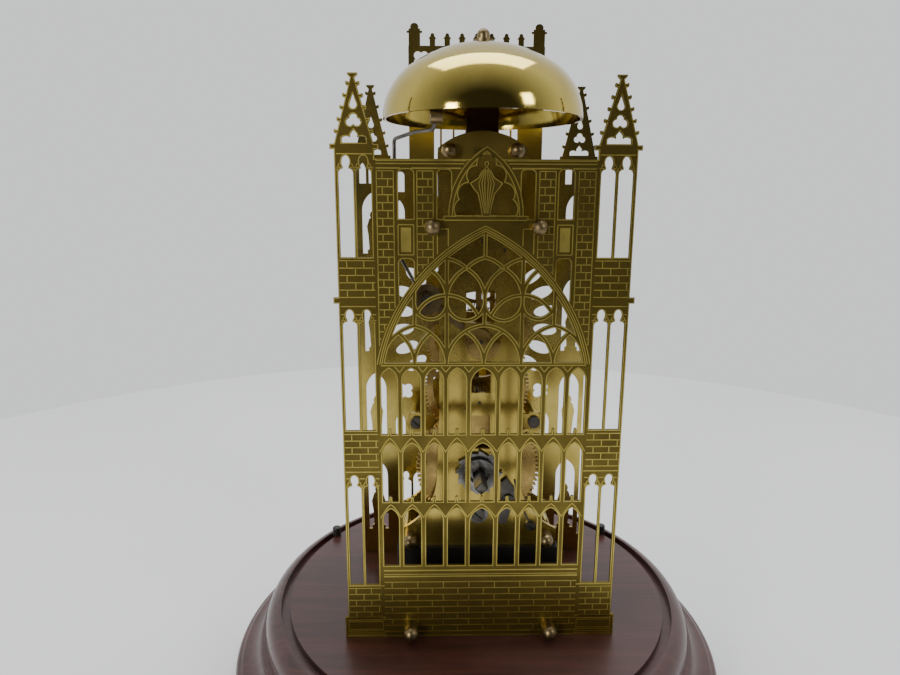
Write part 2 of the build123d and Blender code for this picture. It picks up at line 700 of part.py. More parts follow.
def slotted_screw(place, seat, out, head, tall, shank, reach):
    """Cheese-head screw whose head stands on a face at y = seat; the shank reaches the other way."""
    middle = base_top + place[1]
    with BuildPart() as screw:
        with Locations((place[0], seat + out * tall / 2, middle)):
            Cylinder(head, tall, rotation=(90, 0, 0))
        with Locations((place[0], seat + out * (tall - 0.4), middle)):
            Box(2.2 * head, 0.8, 0.3 * head, rotation=(0, 40, 0), mode=Mode.SUBTRACT)
        with Locations((place[0], seat - out * reach / 2, middle)):
            Cylinder(shank, reach, rotation=(90, 0, 0))
    return screw.part


def group(pieces, name):
    """Save several separate solids of one kind as one node."""
    with BuildPart() as together:
        add(pieces)
    save(together.part, name)


def both(place):
    """A place and its mirror image on the other side of the middle."""
    return [(-place[0], place[1]), place]


ring_feet = [(polar(24.6, angle)[0], at_centre[1] + polar(24.6, angle)[1]) for angle in (45, 135, 225, 315)]
with BuildPart() as chapter_ring_feet:
    add(rods(ring_feet, 0.75, front_screen_y, front_screen_y + 2.2))
    add(rods(ring_feet, 1.2, front_screen_y - 0.5, front_screen_y))
save(chapter_ring_feet.part, "chapter_ring_feet")

# ---------------------------------------------------------------- pillars that carry the two screens
stud_radius = 1.5
with BuildPart() as upper_screen_pillars:
    add(rods(both(screen_nut_high), 2.0, rear_screen_y, front_screen_y))
    add(rods(both(screen_nut_high), stud_radius, rear_screen_y - 4.0, front_screen_y + 4.0))
save(upper_screen_pillars.part, "upper_screen_pillars")

with BuildPart() as lower_screen_pillars:
    add(rods(both(screen_nut_low), 2.5, rear_screen_y, block_rear_y))
    add(rods(both(screen_nut_low), 2.5, block_front_y, front_screen_y))
    add(rods(both(screen_nut_low), stud_radius, rear_screen_y - 4.0, block_rear_y + 7.0))
    add(rods(both(screen_nut_low), stud_radius, block_front_y - 7.0, front_screen_y + 4.0))
save(lower_screen_pillars.part, "lower_screen_pillars")

outer_faces = ((rear_screen_y - screen_thickness, -1), (front_screen_face, 1))
group(
    [
        ball_nut(place, seat, out, screen_ball, stud_radius)
        for place in both(screen_nut_high)
        for seat, out in outer_faces
    ]
    + [ball_nut(place, front_screen_face, 1, screen_ball, stud_radius) for place in both(dial_pillar)],
    "screen_ball_nuts",
)
group(
    [
        dome_nut(place, seat, out, dome_nut_radius, stud_radius)
        for place in both(screen_nut_low)
        for seat, out in outer_faces
    ],
    "screen_dome_nuts",
)

# ---------------------------------------------------------------- movement plates
with BuildSketch() as plate_outline:
    with BuildLine():
        Line((36.7, h_plate_foot), (36.7, 40.0))
        ThreePointArc((36.7, 40.0), (25.4, 48.6), (19.2, 66.0))
        Polyline((19.2, 66.0), (17.9, 100.0), (18.7, 212.0))
        ThreePointArc((18.7, 212.0), (0, h_plate_top), (-18.7, 212.0))
        Polyline((-18.7, 212.0), (-17.9, 100.0), (-19.2, 66.0))
        ThreePointArc((-19.2, 66.0), (-25.4, 48.6), (-36.7, 40.0))
        Polyline((-36.7, 40.0), (-36.7, h_plate_foot), (36.7, h_plate_foot))
    make_face()
    # windows that show the train
    for low, high, wide in ((138.5, 152.5, 12.6), (106.4, 121.0, 9.8), (80.0, 96.0, 9.8)):
        with Locations((0, (low + high) / 2)):
            Rectangle(wide, high - low, mode=Mode.SUBTRACT)
    # mortise for the bell bridge's tenon, and holes for the pillar studs
    with Locations((0, 211.0)):
        Rectangle(8.0, 2.4, mode=Mode.SUBTRACT)
    with Locations(*both(pillar_high), *both(pillar_low)):
        Circle(stud_radius, mode=Mode.SUBTRACT)
    with Locations(at_inter, at_third, at_fourth):
        Circle(pivot_radius + running_gap, mode=Mode.SUBTRACT)
    with Locations(at_escape, at_lever, at_balance):
        Circle(0.45 + running_gap, mode=Mode.SUBTRACT)
    with Locations(at_centre):
        Circle(1.0 + running_gap, mode=Mode.SUBTRACT)

screw_low = (0.0, 48.3)
spring_screw = (24.6, 42.0)
with BuildSketch() as rear_outline:
    add(plate_outline.sketch)
    with Locations(at_hammer):
        Circle(5.5)
    with Locations((-19.6, at_hammer[1])):
        Rectangle(7.0, 9.0)
    with Locations(at_hammer):
        Circle(1.2, mode=Mode.SUBTRACT)
    with Locations(at_barrel):
        Circle(3.0 + running_gap, mode=Mode.SUBTRACT)
    with Locations(screw_low, at_click, spring_screw):
        Circle(1.2, mode=Mode.SUBTRACT)
group([slab((0, 0), rear_outline.sketch, rear_plate_y, rear_plate_y + plate_thickness)], "rear_plate")

with BuildSketch() as front_outline:
    add(plate_outline.sketch)
    for side in (-1, 1):
        with Locations((side * dial_pillar[0], dial_pillar[1])):
            Circle(5.0)
        with Locations((side * 22.6, dial_pillar[1])):
            Rectangle(13.0, 8.0)
    with Locations(*both(dial_pillar)):
        Circle(1.2, mode=Mode.SUBTRACT)
    with Locations(at_barrel):
        Circle(1.6 + running_gap, mode=Mode.SUBTRACT)
    with Locations(at_minute):
        Circle(1.0, mode=Mode.SUBTRACT)
    with Locations((7.6, at_balance[1])):
        Circle(0.7, mode=Mode.SUBTRACT)
group([slab((0, 0), front_outline.sketch, front_plate_y, front_plate_y + plate_thickness)], "front_plate")

inner_rear = rear_plate_y + plate_thickness
outer_front = front_plate_y + plate_thickness
with BuildPart() as movement_pillars:
    add(rods(both(pillar_high), 3.0, inner_rear, front_plate_y))
    add(rods(both(pillar_low), 4.2, inner_rear, front_plate_y))
    add(rods(both(pillar_high) + both(pillar_low), stud_radius, rear_plate_y - 3.0, outer_front + 3.0))
    with BuildSketch(Plane.XY.offset(base_top + 30.0)):
        with Locations((-pillar_low[0], seat_bolt_y), (pillar_low[0], seat_bolt_y)):
            Circle(1.95)
    extrude(amount=6.4, mode=Mode.SUBTRACT)
save(movement_pillars.part, "movement_pillars")

plate_faces = ((rear_plate_y, -1), (outer_front, 1))
group(
    [ball_nut(place, seat, out, 3.2, stud_radius) for place in both(pillar_high) for seat, out in plate_faces]
    + [
        dome_nut(place, seat, out, dome_nut_radius, stud_radius)
        for place in both(pillar_low)
        for seat, out in plate_faces
    ],
    "plate_nuts",
)

with BuildPart() as dial_pillars:
    add(rods(both(dial_pillar), 2.2, outer_front, front_screen_y))
    add(rods(both(dial_pillar), stud_radius, front_screen_y, front_screen_y + 4.0))
    add(rods(both(dial_pillar), 1.2, outer_front, outer_front + 4.4), mode=Mode.SUBTRACT)
save(dial_pillars.part, "dial_pillars")

# ---------------------------------------------------------------- barrel and winding work
drum_radius = 24.5
core_radius = 7.0
great_outline = wheel(great_teeth, great_module, great_phase, 0, 0, 0, 4.05)
group([slab(at_barrel, great_outline, -14.6, -12.8)], "great_wheel")

with BuildPart() as barrel_drum:
    add(rods([at_barrel], drum_radius, -12.8, 5.0))
    add(rods([at_barrel], drum_radius - 1.2, -11.8, 5.0), mode=Mode.SUBTRACT)
    add(rods([at_barrel], 4.05, -12.8, -11.8), mode=Mode.SUBTRACT)
save(barrel_drum.part, "barrel_drum")

with BuildPart() as barrel_cap:
    add(rods([at_barrel], drum_radius - 1.2, 4.0, 5.0))
    add(rods([at_barrel], 3.05, 4.0, 5.0), mode=Mode.SUBTRACT)
save(barrel_cap.part, "barrel_cap")


def spiral(start, pitch, halves):
    """Flat spiral of half circles, from radius start on +X, that grows by half a pitch each half turn."""
    edges = []
    for half in range(halves):
        inner = start + half * pitch / 2
        outer = inner + pitch / 2
        side = 1 if half % 2 == 0 else -1
        middle = side * (inner - outer) / 2
        edges.append(CenterArc((middle, 0), (inner + outer) / 2, 0 if side > 0 else 180, 180))
    return edges


mainspring_ribs = [rib(0.5, edge) for edge in spiral(core_radius + 1.2, 1.7, 17)]
with BuildSketch() as mainspring_outline:
    add(mainspring_ribs)
group([slab(at_barrel, mainspring_outline.sketch, -11.4, 3.6)], "mainspring")

square_side = 4.2
with BuildPart() as winding_arbor:
    add(rods([at_barrel], 1.6, 8.9, 10.9))
    add(rods([at_barrel], 3.0, 3.8, 8.9))
    add(rods([at_barrel], core_radius, -11.6, 3.8))
    add(rods([at_barrel], 4.0, -16.9, -11.6))
    add(rods([at_barrel], 3.0, -19.0, -16.9))
    with BuildSketch(facing(-19.0)):
        with Locations(at_barrel):
            Rectangle(square_side, square_side, rotation=45)
    extrude(amount=19.0)
    chamfer(winding_arbor.edges().group_by(Axis.Y)[0], 0.6)
save(winding_arbor.part, "winding_arbor")


def ratchet(teeth, outer, depth):
    """Saw-toothed wheel on the winding square."""
    with BuildSketch() as face:
        with BuildLine():
            for tooth in range(teeth):
                start = 360 * tooth / teeth
                end = 360 * (tooth + 1) / teeth
                Line(polar(outer, start), polar(outer - depth, start + 2.0))
                Line(polar(outer - depth, start + 2.0), polar(outer, end))
        make_face()
        Rectangle(square_side, square_side, rotation=45, mode=Mode.SUBTRACT)
    return face.sketch


group([slab(at_barrel, ratchet(ratchet_teeth, 10.8, 1.7), -21.0, -19.6)], "ratchet_wheel")
with BuildSketch() as boss_outline:
    Circle(7.5)
    Circle(4.5, mode=Mode.SUBTRACT)
group([slab(at_barrel, boss_outline.sketch, -23.4, -21.0)], "ratchet_boss")

with BuildSketch() as click_outline:
    with BuildLine():
        Polyline((10.2, 64.2), (12.8, 66.4), (16.6, 61.0), (16.8, 56.0))
        Polyline((16.8, 56.0), (13.0, 44.0), (9.4, 43.4), (10.4, 56.0), (10.2, 64.2))
    make_face()
    fillet(click_outline.vertices().group_by(Axis.Y)[0], 1.2)
    with Locations(at_click):
        Circle(3.4)
        Circle(1.9 + running_gap, mode=Mode.SUBTRACT)
group([slab((0, 0), click_outline.sketch, -21.0, -19.4)], "click")

spring_ribs = [
    rib(0.8, Line((24.2, 43.0), (20.2, 52.0))),
    rib(0.8, ThreePointArc((20.2, 52.0), (18.2, 58.3), (16.7, 64.6))),
]
with BuildSketch() as spring_outline:
    with Locations(spring_screw):
        Circle(2.4)
    add(spring_ribs)
    with Locations(spring_screw):
        Circle(1.2, mode=Mode.SUBTRACT)
group([slab((0, 0), spring_outline.sketch, -20.2, -19.0)], "click_spring")

with BuildPart() as low_washer:
    add(rods([screw_low], 4.6, -20.0, rear_plate_y))
    add(rods([screw_low], 1.2, -20.0, rear_plate_y), mode=Mode.SUBTRACT)
save(low_washer.part, "washer")

with BuildPart() as click_shoulder:
    add(slotted_screw(at_click, -21.1, -1, 3.0, 1.2, 1.2, 4.0))
    add(rods([at_click], 1.9, -21.1, rear_plate_y))
group(
    [
        click_shoulder.part,
        slotted_screw(screw_low, -20.0, -1, 3.1, 1.8, 1.2, 2.9),
        slotted_screw(spring_screw, -20.2, -1, 1.9, 1.1, 1.2, 3.1),
    ]
    + [slotted_screw(place, front_plate_y, -1, 3.0, 1.6, 1.2, 6.0) for place in both(dial_pillar)],
    "movement_screws",
)

# ---------------------------------------------------------------- going train


def arbor(place, body, pivot, leaves, low, high):
    """Steel arbor between the plates: leaves from low to high, a body either side, and two pivots."""
    with BuildPart() as piece:
        add(slab(place, leaves, low, high))
        add(rods([place], body, inner_rear + 0.1, low))
        add(rods([place], body, high, front_plate_y - 0.1))
        add(rods([place], pivot, rear_plate_y + 0.1, inner_rear + 0.1))
        add(rods([place], pivot, front_plate_y - 0.1, outer_front - 0.1))
    return piece.part


inter_leaves = pinion(inter_pinion_teeth, great_module, inter_pinion_phase)
centre_leaves = pinion(centre_pinion_teeth, inter_module, centre_pinion_phase)
third_leaves = pinion(third_pinion_teeth, centre_module, third_pinion_phase)
fourth_leaves = pinion(fourth_pinion_teeth, third_module, fourth_pinion_phase)
escape_leaves = pinion(escape_pinion_teeth, fourth_module, escape_pinion_phase)

group([arbor(at_inter, arbor_radius, pivot_radius, inter_leaves, -15.2, -12.2)], "inter_arbor")
inter_outline = wheel(inter_teeth, inter_module, inter_phase, 3.2, 5, 4.2, arbor_radius)
group([slab(at_inter, inter_outline, 6.0, 7.4)], "inter_wheel")

with BuildPart() as centre_arbor:
    add(slab(at_centre, centre_leaves, 5.0, 8.2))
    add(rods([at_centre], arbor_radius, inner_rear + 0.1, 5.0))
    add(rods([at_centre], arbor_radius, 8.2, front_plate_y - 0.1))
    add(rods([at_centre], 1.0, -21.9, inner_rear + 0.1))
    add(rods([at_centre], 1.0, front_plate_y - 0.1, 39.4))
save(centre_arbor.part, "centre_arbor")
centre_outline = wheel(centre_teeth, centre_module, centre_phase, 3.0, 5, 4.0, arbor_radius)
group([slab(at_centre, centre_outline, -6.0, -4.6)], "centre_wheel")

with BuildSketch() as snail:
    with BuildLine():
        CenterArc((-1.0, 0), 6.0, 0, 180)
        CenterArc((1.0, 0), 8.0, 180, 180)
        Line((9.0, 0), (5.0, 0))
    make_face()
    Circle(1.0, mode=Mode.SUBTRACT)
group([slab(at_centre, snail.sketch, -21.6, -20.4)], "strike_cam")

group([arbor(at_third, arbor_radius, pivot_radius, third_leaves, -7.0, -3.6)], "third_arbor")
third_outline = wheel(third_teeth, third_module, third_phase, 1.8, 4, 2.8, arbor_radius)
group([slab(at_third, third_outline, 2.0, 3.0)], "third_wheel")
group([arbor(at_fourth, 1.0, pivot_radius, fourth_leaves, 1.0, 4.0)], "fourth_arbor")
fourth_outline = wheel(fourth_teeth, fourth_module, fourth_phase, 1.4, 4, 2.2, 1.0)
group([slab(at_fourth, fourth_outline, -9.0, -8.1)], "fourth_wheel")
group([arbor(at_escape, 0.7, 0.45, escape_leaves, -10.0, -7.0)], "escape_arbor")

# ---------------------------------------------------------------- escapement
with BuildSketch() as escape_outline:
    with BuildLine():
        for tooth in range(escape_teeth):
            start = 360 * tooth / escape_teeth
            Line(polar(4.2, start), polar(escape_radius, start + 9.0))
            Line(polar(escape_radius, start + 9.0), polar(escape_radius, start + 11.0))
            Line(polar(escape_radius, start + 11.0), polar(4.2, start + 12.0))
            Line(polar(4.2, start + 12.0), polar(4.2, start + 24.0))
    make_face()
    Circle(3.3, mode=Mode.SUBTRACT)
    Rectangle(7.2, 0.9)
    Rectangle(0.9, 7.2)
    Circle(1.5)
    Circle(0.7, mode=Mode.SUBTRACT)
group([slab(at_escape, escape_outline.sketch, -3.0, -2.2)], "escape_wheel")

stone_reach = (5.8, -4.2)
stone_turn = degrees(atan2(stone_reach[1] + at_lever[1] - at_escape[1], stone_reach[0]))
with BuildSketch() as stone_outline:
    for side in (-1, 1):
        with Locations((side * stone_reach[0], stone_reach[1])):
            Rectangle(1.6, 0.9, rotation=stone_turn if side > 0 else -stone_turn)
lever_ribs = [rib(1.5, Line((0, 0), (side * 3.6, -0.6))) for side in (-1, 1)]
lever_ribs += [rib(1.5, Line((side * 3.2, -0.4), (side * 6.3, -4.0))) for side in (-1, 1)]
with BuildSketch() as lever_outline:
    add(lever_ribs)
    with Locations((0, 4.4)):
        Rectangle(1.3, 8.8)
    with Locations((0, 8.4)):
        Rectangle(3.2, 2.2)
    with Locations((0, 9.0)):
        Rectangle(1.0, 1.2, mode=Mode.SUBTRACT)
    Circle(1.6)
    Circle(0.6, mode=Mode.SUBTRACT)
    add(stone_outline.sketch, mode=Mode.SUBTRACT)
group([slab(at_lever, lever_outline.sketch, -3.2, -2.0)], "lever")
group([slab(at_lever, stone_outline.sketch, -3.2, -2.0)], "pallet_stones")
with BuildPart() as lever_arbor:
    add(rods([at_lever], 0.6, inner_rear + 0.1, front_plate_y - 0.1))
    add(rods([at_lever], 0.45, rear_plate_y + 0.1, outer_front - 0.1))
save(lever_arbor.part, "lever_arbor")

with BuildSketch() as balance_outline:
    Circle(9.5)
    Circle(7.9, mode=Mode.SUBTRACT)
    Rectangle(16.4, 1.5)
    Circle(2.0)
    Circle(0.8, mode=Mode.SUBTRACT)
group([slab(at_balance, balance_outline.sketch, 2.0, 3.2)], "balance_wheel")
with BuildPart() as balance_staff:
    add(rods([at_balance], 0.8, inner_rear + 0.1, front_plate_y - 0.1))
    add(rods([at_balance], 0.45, rear_plate_y + 0.1, outer_front - 0.1))
    add(rods([at_balance], 2.6, -1.6, -0.8))
    add(rods([(0, at_balance[1] - 1.9)], 0.3, -3.1, -1.6))
    add(rods([at_balance], 1.25, 4.0, 5.2))
save(balance_staff.part, "balance_staff")
hairspring_ribs = [rib(0.24, edge) for edge in spiral(1.4, 0.9, 12)]
with BuildSketch() as hairspring_outline:
    add(hairspring_ribs)
group([slab(at_balance, hairspring_outline.sketch, 4.2, 5.0)], "hairspring")

# ---------------------------------------------------------------- motion work and hands
pipe_radius = 1.6
with BuildPart() as cannon_pinion:
    add(slab(at_centre, toothed(cannon_teeth, motion_module, 1.2, 0.7, 1.75, 0.0), 12.2, 15.2))
    add(rods([at_centre], pipe_radius, 15.2, 37.4))
    add(rods([at_centre], 1.0, 12.2, 37.4), mode=Mode.SUBTRACT)
save(cannon_pinion.part, "cannon_pinion")

with BuildSketch() as minute_outline:
    add(toothed(minute_teeth, motion_module, 1.2, 0.8, 1.5, minute_phase))
    Circle(1.0 + running_gap, mode=Mode.SUBTRACT)
with BuildSketch() as minute_pinion_outline:
    add(toothed(minute_pinion_teeth, hour_module, 1.0, 0.6, 1.75, 0.0))
    Circle(1.0 + running_gap, mode=Mode.SUBTRACT)
with BuildPart() as minute_wheel:
    add(slab(at_minute, minute_outline.sketch, 12.8, 14.0))
    add(slab(at_minute, minute_pinion_outline.sketch, 14.0, 18.0))
save(minute_wheel.part, "minute_wheel")
with BuildPart() as motion_post:
    add(rods([at_minute], 1.0, front_plate_y, 18.2))
    add(rods([at_minute], 2.0, outer_front, 12.6))
    add(rods([at_minute], 1.8, 18.2, 19.0))

with BuildPart() as hour_wheel:
    add(slab(at_centre, toothed(hour_teeth, hour_module, 1.2, 0.8, 1.5, hour_phase), 16.0, 17.2))
    add(rods([at_centre], 2.4, 17.2, 35.4))
    add(rods([at_centre], pipe_radius + running_gap, 16.0, 35.4), mode=Mode.SUBTRACT)
save(hour_wheel.part, "hour_wheel")


def hand(length, width, boss, bore, angle):
    """Pierced spade hand that points up, then turned by an angle."""
    with BuildSketch() as face:
        with BuildLine():
            Polyline((-0.5, 0), (0.5, 0), (0.45, 0.6 * length), (width, 0.72 * length), (0, length))
            Polyline((0, length), (-width, 0.72 * length), (-0.45, 0.6 * length), (-0.5, 0))
        make_face()
        with Locations((0, 0.74 * length)):
            Ellipse(0.42 * width, 0.07 * length, mode=Mode.SUBTRACT)
        Circle(boss)
        Circle(bore, mode=Mode.SUBTRACT)
    return Rotation(0, 0, angle) * face.sketch


group([slab(at_centre, hand(18.4, 2.6, 3.6, 2.4, -55.0), 34.6, 35.4)], "hour_hand")
group([slab(at_centre, hand(27.6, 2.0, 2.8, pipe_radius, 60.0), 36.6, 37.4)], "minute_hand")
with BuildPart() as hand_nut:
    add(rods([at_centre], 2.1, 37.4, 39.0))
    add(rods([at_centre], 1.0, 37.4, 39.0), mode=Mode.SUBTRACT)
    chamfer(hand_nut.edges().group_by(Axis.Y)[-1], 0.35)
save(hand_nut.part, "hand_nut")

# ---------------------------------------------------------------- hammer
with BuildPart() as hammer_stud:
    add(rods([at_hammer], 1.2, -26.0, inner_rear))
    add(rods([at_hammer], 2.4, -27.2, -26.0))
    add(rods([at_hammer], 2.4, -19.6, rear_plate_y))
hairspring_stud = rods([(7.6, at_balance[1])], 0.7, 4.0, outer_front)
group([hammer_stud.part, motion_post.part, hairspring_stud], "plate_posts")

tail_angle = degrees(atan2(at_centre[1] - at_hammer[1], -at_hammer[0]))
with BuildPart() as hammer_arm:
    with BuildSketch(facing(-19.8)):
        with Locations(at_hammer):
            Circle(3.2)
            with Locations(Rotation(0, 0, tail_angle)):
                with Locations((10.3, 0)):
                    Rectangle(20.6, 2.6)
    extrude(amount=1.8)
    add(rods([at_hammer], 6.5, -24.0, -21.6))
    add(rods([at_hammer], 3.2, -25.8, -19.8))
    add(rods([at_hammer], 1.2 + running_gap, -26.0, -19.0), mode=Mode.SUBTRACT)
save(hammer_arm.part, "hammer_arm")

head_at = (-19.4, -45.2, 221.4)
wire_points = [
    (-27.6, -22.8, 154.8),
    (-36.5, -22.8, 171.0),
    (-36.5, -22.8, 215.2),
    (-27.6, -34.0, 217.0),
    (-20.6, -43.2, 217.0),
    (head_at[0], head_at[1], head_at[2] - 1.0),
]
with BuildPart() as hammer_wire:
    with BuildLine() as wire_line:
        FilletPolyline([Vector(x, y, base_top + height) for x, y, height in wire_points], radius=1.6)
    with BuildSketch(Plane(origin=wire_line.line @ 0, z_dir=wire_line.line % 0)):
        Circle(0.75)
    sweep()
    add(rods([at_hammer], 6.5, -24.0, -21.6), mode=Mode.SUBTRACT)
save(hammer_wire.part, "hammer_wire")

with BuildPart() as hammer_head:
    with Locations((head_at[0], head_at[1], base_top + head_at[2])):
        Cylinder(2.6, 5.0, rotation=(0, 90, 60))
        fillet(hammer_head.edges(), 0.5)
    add(hammer_wire.part, mode=Mode.SUBTRACT)
save(hammer_head.part, "hammer_head")

# ---------------------------------------------------------------- bell
bell_axis = Axis((0, bell_y, 0), (0, 0, 1))
side_centre = bell_radius - side_arc
bell_rise = h_bell_apex - h_bell_rim
# the crown arc that ends at the apex and runs smoothly into the side arc
crown_arc = (side_centre**2 + bell_rise**2 - side_arc**2) / (2 * (bell_rise - side_arc))
crown_centre = h_bell_apex - crown_arc
blend = degrees(atan2(h_bell_rim - crown_centre, side_centre))


def bell_line(offset):
    """Half of the bell's section at an offset inside its outer face: the crown arc and the side arc."""
    side = side_arc - offset
    crown = crown_arc - offset
    with BuildLine() as line:
        CenterArc((side_centre, h_bell_rim), side, 0, blend)
        CenterArc((0, crown_centre), crown, blend, 90 - blend)
    return line.line


with BuildPart() as bell:
    with BuildSketch(Plane(origin=(0, bell_y, base_top), x_dir=(1, 0, 0), z_dir=(0, -1, 0))):
        with BuildLine():
            add(bell_line(0))
            add(bell_line(bell_wall))
            Line((0, h_bell_apex), (0, h_bell_apex - bell_wall))
            Line((bell_radius, h_bell_rim), (bell_radius - bell_wall, h_bell_rim))
        make_face()
    revolve(axis=bell_axis)
    with Locations((0, bell_y, base_top + h_bell_apex)):
        Cylinder(2.0, 8.0, mode=Mode.SUBTRACT)
save(bell.part, "bell")

bridge_half = 6.5
h_bridge = 209.0
strap_top = h_bell_apex - bell_wall - 1.6
with BuildPart() as bell_bridge:
    with Locations((0, (inner_rear + front_plate_y) / 2, base_top + h_bridge + 2.0)):
        Box(2 * bridge_half, front_plate_y - inner_rear, 4.0)
    with Locations((0, (rear_plate_y + outer_front) / 2, base_top + 211.0)):
        Box(8.0, outer_front - rear_plate_y, 2.4)
save(bell_bridge.part, "bell_bridge")

with BuildPart() as bell_standard:
    with Locations((0, bell_y, base_top + (h_bridge + 4.0 + strap_top) / 2)):
        Box(13.5, 2.0, strap_top - h_bridge - 4.0)
    with Locations((0, bell_y + 4.0, base_top + h_bridge + 5.0)):
        Box(13.5, 8.0, 2.0)
    with Locations((0, bell_y, base_top + strap_top - 1.0)):
        Box(13.5, 6.0, 2.0)
    with Locations((0, bell_y, base_top + strap_top)):
        Cylinder(3.0, 1.5, align=(Align.CENTER, Align.CENTER, Align.MIN))
        Cylinder(2.0, 6.4, align=(Align.CENTER, Align.CENTER, Align.MIN))
save(bell_standard.part, "bell_standard")

with BuildPart() as bell_nut:
    with Locations((0, bell_y, base_top + h_bell_apex)):
        Cylinder(4.3, 1.4, align=(Align.CENTER, Align.CENTER, Align.MIN))
        Cylinder(2.7, 3.4, align=(Align.CENTER, Align.CENTER, Align.MIN))
    with Locations((0, bell_y, base_top + h_bell_apex + 3.2)):
        Sphere(2.7)
    with Locations((0, bell_y, base_top + strap_top)):
        Cylinder(2.0, 6.4, align=(Align.CENTER, Align.CENTER, Align.MIN), mode=Mode.SUBTRACT)
save(bell_nut.part, "bell_nut")
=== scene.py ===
"""Looks of the gothic skeleton clock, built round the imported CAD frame.

Lengths are metres, apart from the drawing on the screens and the dial, which is in millimetres:
x to the right of the clock's middle, and heights over the base's top.
"""

import json
import math

import bmesh
import bpy
from mathutils import Matrix, Vector
from mathutils.bvhtree import BVHTree


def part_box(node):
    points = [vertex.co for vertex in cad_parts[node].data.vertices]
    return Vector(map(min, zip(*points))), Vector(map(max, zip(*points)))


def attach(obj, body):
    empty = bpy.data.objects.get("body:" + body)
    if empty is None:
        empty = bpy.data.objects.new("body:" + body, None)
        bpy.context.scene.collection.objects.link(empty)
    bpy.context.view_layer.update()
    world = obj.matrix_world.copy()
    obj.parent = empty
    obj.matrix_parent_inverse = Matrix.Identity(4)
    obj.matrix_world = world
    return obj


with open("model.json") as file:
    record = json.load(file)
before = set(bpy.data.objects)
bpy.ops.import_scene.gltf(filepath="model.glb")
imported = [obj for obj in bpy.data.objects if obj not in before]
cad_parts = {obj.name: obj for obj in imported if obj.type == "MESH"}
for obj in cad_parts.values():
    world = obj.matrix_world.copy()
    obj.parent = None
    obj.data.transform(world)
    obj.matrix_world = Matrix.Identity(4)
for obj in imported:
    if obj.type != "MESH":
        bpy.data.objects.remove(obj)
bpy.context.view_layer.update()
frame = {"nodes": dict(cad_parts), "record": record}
nodes = frame["nodes"]
slots = {entry["node"]: entry["material_slot"] for entry in frame["record"]["subparts"]}

MM = 0.001
BASE_TOP = 0.038  # the base's top over the surface that the clock stands on
SIDES = (-1, 1)

# ---------------------------------------------------------------- materials
MIX_COLOUR_A, MIX_COLOUR_B, MIX_COLOUR_RESULT = 6, 7, 2  # the colour sockets of a mix node
SCRATCH_DEPTH = 0.01 * MM
PORE_DEPTH = 0.06 * MM
PEEL_DEPTH = 0.02 * MM
FIBRE_DEPTH = 0.2 * MM


class Shader:
    """Small helper round one node material with a Principled shader."""

    def __init__(self, name, metallic, roughness, specular=0.5):
        self.material = bpy.data.materials.new(name)
        self.material.use_nodes = True
        self.nodes = self.material.node_tree.nodes
        self.links = self.material.node_tree.links
        self.main = self.nodes["Principled BSDF"]
        self.main.inputs["Metallic"].default_value = metallic
        self.main.inputs["Roughness"].default_value = roughness
        self.main.inputs["Specular IOR Level"].default_value = specular
        self.place = self.nodes.new("ShaderNodeTexCoord").outputs["Object"]

    def scaled(self, x, y, z, turn=(0, 0, 0)):
        """The object's own space, stretched and turned."""
        mapping = self.nodes.new("ShaderNodeMapping")
        mapping.inputs["Scale"].default_value = (x, y, z)
        mapping.inputs["Rotation"].default_value = turn
        self.links.new(self.place, mapping.inputs["Vector"])
        return mapping.outputs["Vector"]

    def noise(self, scale, detail=4.0, rough=0.55, vector=None, distortion=0.0):
        node = self.nodes.new("ShaderNodeTexNoise")
        node.inputs["Scale"].default_value = scale
        node.inputs["Detail"].default_value = detail
        node.inputs["Roughness"].default_value = rough
        node.inputs["Distortion"].default_value = distortion
        self.links.new(vector or self.place, node.inputs["Vector"])
        return node.outputs["Fac"]

    def ramp(self, value, *stops):
        """Colours along a value, from (position, colour) stops."""
        node = self.nodes.new("ShaderNodeValToRGB")
        ramp = node.color_ramp
        while len(ramp.elements) < len(stops):
            ramp.elements.new(0.5)
        for element, (place, colour) in zip(ramp.elements, stops):
            element.position = place
            element.color = (*colour, 1.0)
        self.links.new(value, node.inputs["Fac"])
        return node.outputs["Color"]

    def spread(self, value, low, high, start=0.3, end=0.7):
        """The value's span from start to end, spread over low to high."""
        node = self.nodes.new("ShaderNodeMapRange")
        node.inputs["From Min"].default_value = start
        node.inputs["From Max"].default_value = end
        node.inputs["To Min"].default_value = low
        node.inputs["To Max"].default_value = high
        self.links.new(value, node.inputs["Value"])
        return node.outputs["Result"]

    def mix(self, factor, under, over):
        """The plain colour over, laid on under where factor is high."""
        node = self.nodes.new("ShaderNodeMix")
        node.data_type = "RGBA"
        self.links.new(factor, node.inputs["Factor"])
        self.links.new(under, node.inputs[MIX_COLOUR_A])
        node.inputs[MIX_COLOUR_B].default_value = (*over, 1.0)
        return node.outputs[MIX_COLOUR_RESULT]

    def colour(self, value):
        self.links.new(value, self.main.inputs["Base Color"])

    def rough(self, value):
        self.links.new(value, self.main.inputs["Roughness"])

    def bump(self, value, distance, strength):
        node = self.nodes.new("ShaderNodeBump")
        node.inputs["Distance"].default_value = distance
        node.inputs["Strength"].default_value = strength
        self.links.new(value, node.inputs["Height"])
        self.links.new(node.outputs["Normal"], self.main.inputs["Normal"])


def metal(name, light, dark, rough, patches=60.0, stretch=(1, 1, 1), grain=1500.0, metallic=1.0):
    """Metal with patchy tarnish, fine directional scratches, and uneven gloss."""
    shader = Shader(name, metallic, rough)
    cloud = shader.noise(patches, detail=5.0, rough=0.6)
    fine = shader.noise(grain, detail=3.0, rough=0.6, vector=shader.scaled(*stretch))
    shader.colour(shader.ramp(cloud, (0.3, dark), (0.62, light)))
    shader.rough(shader.spread(cloud, low=rough * 1.35, high=rough * 0.8))
    shader.bump(fine, SCRATCH_DEPTH, strength=0.5)
    return shader.material


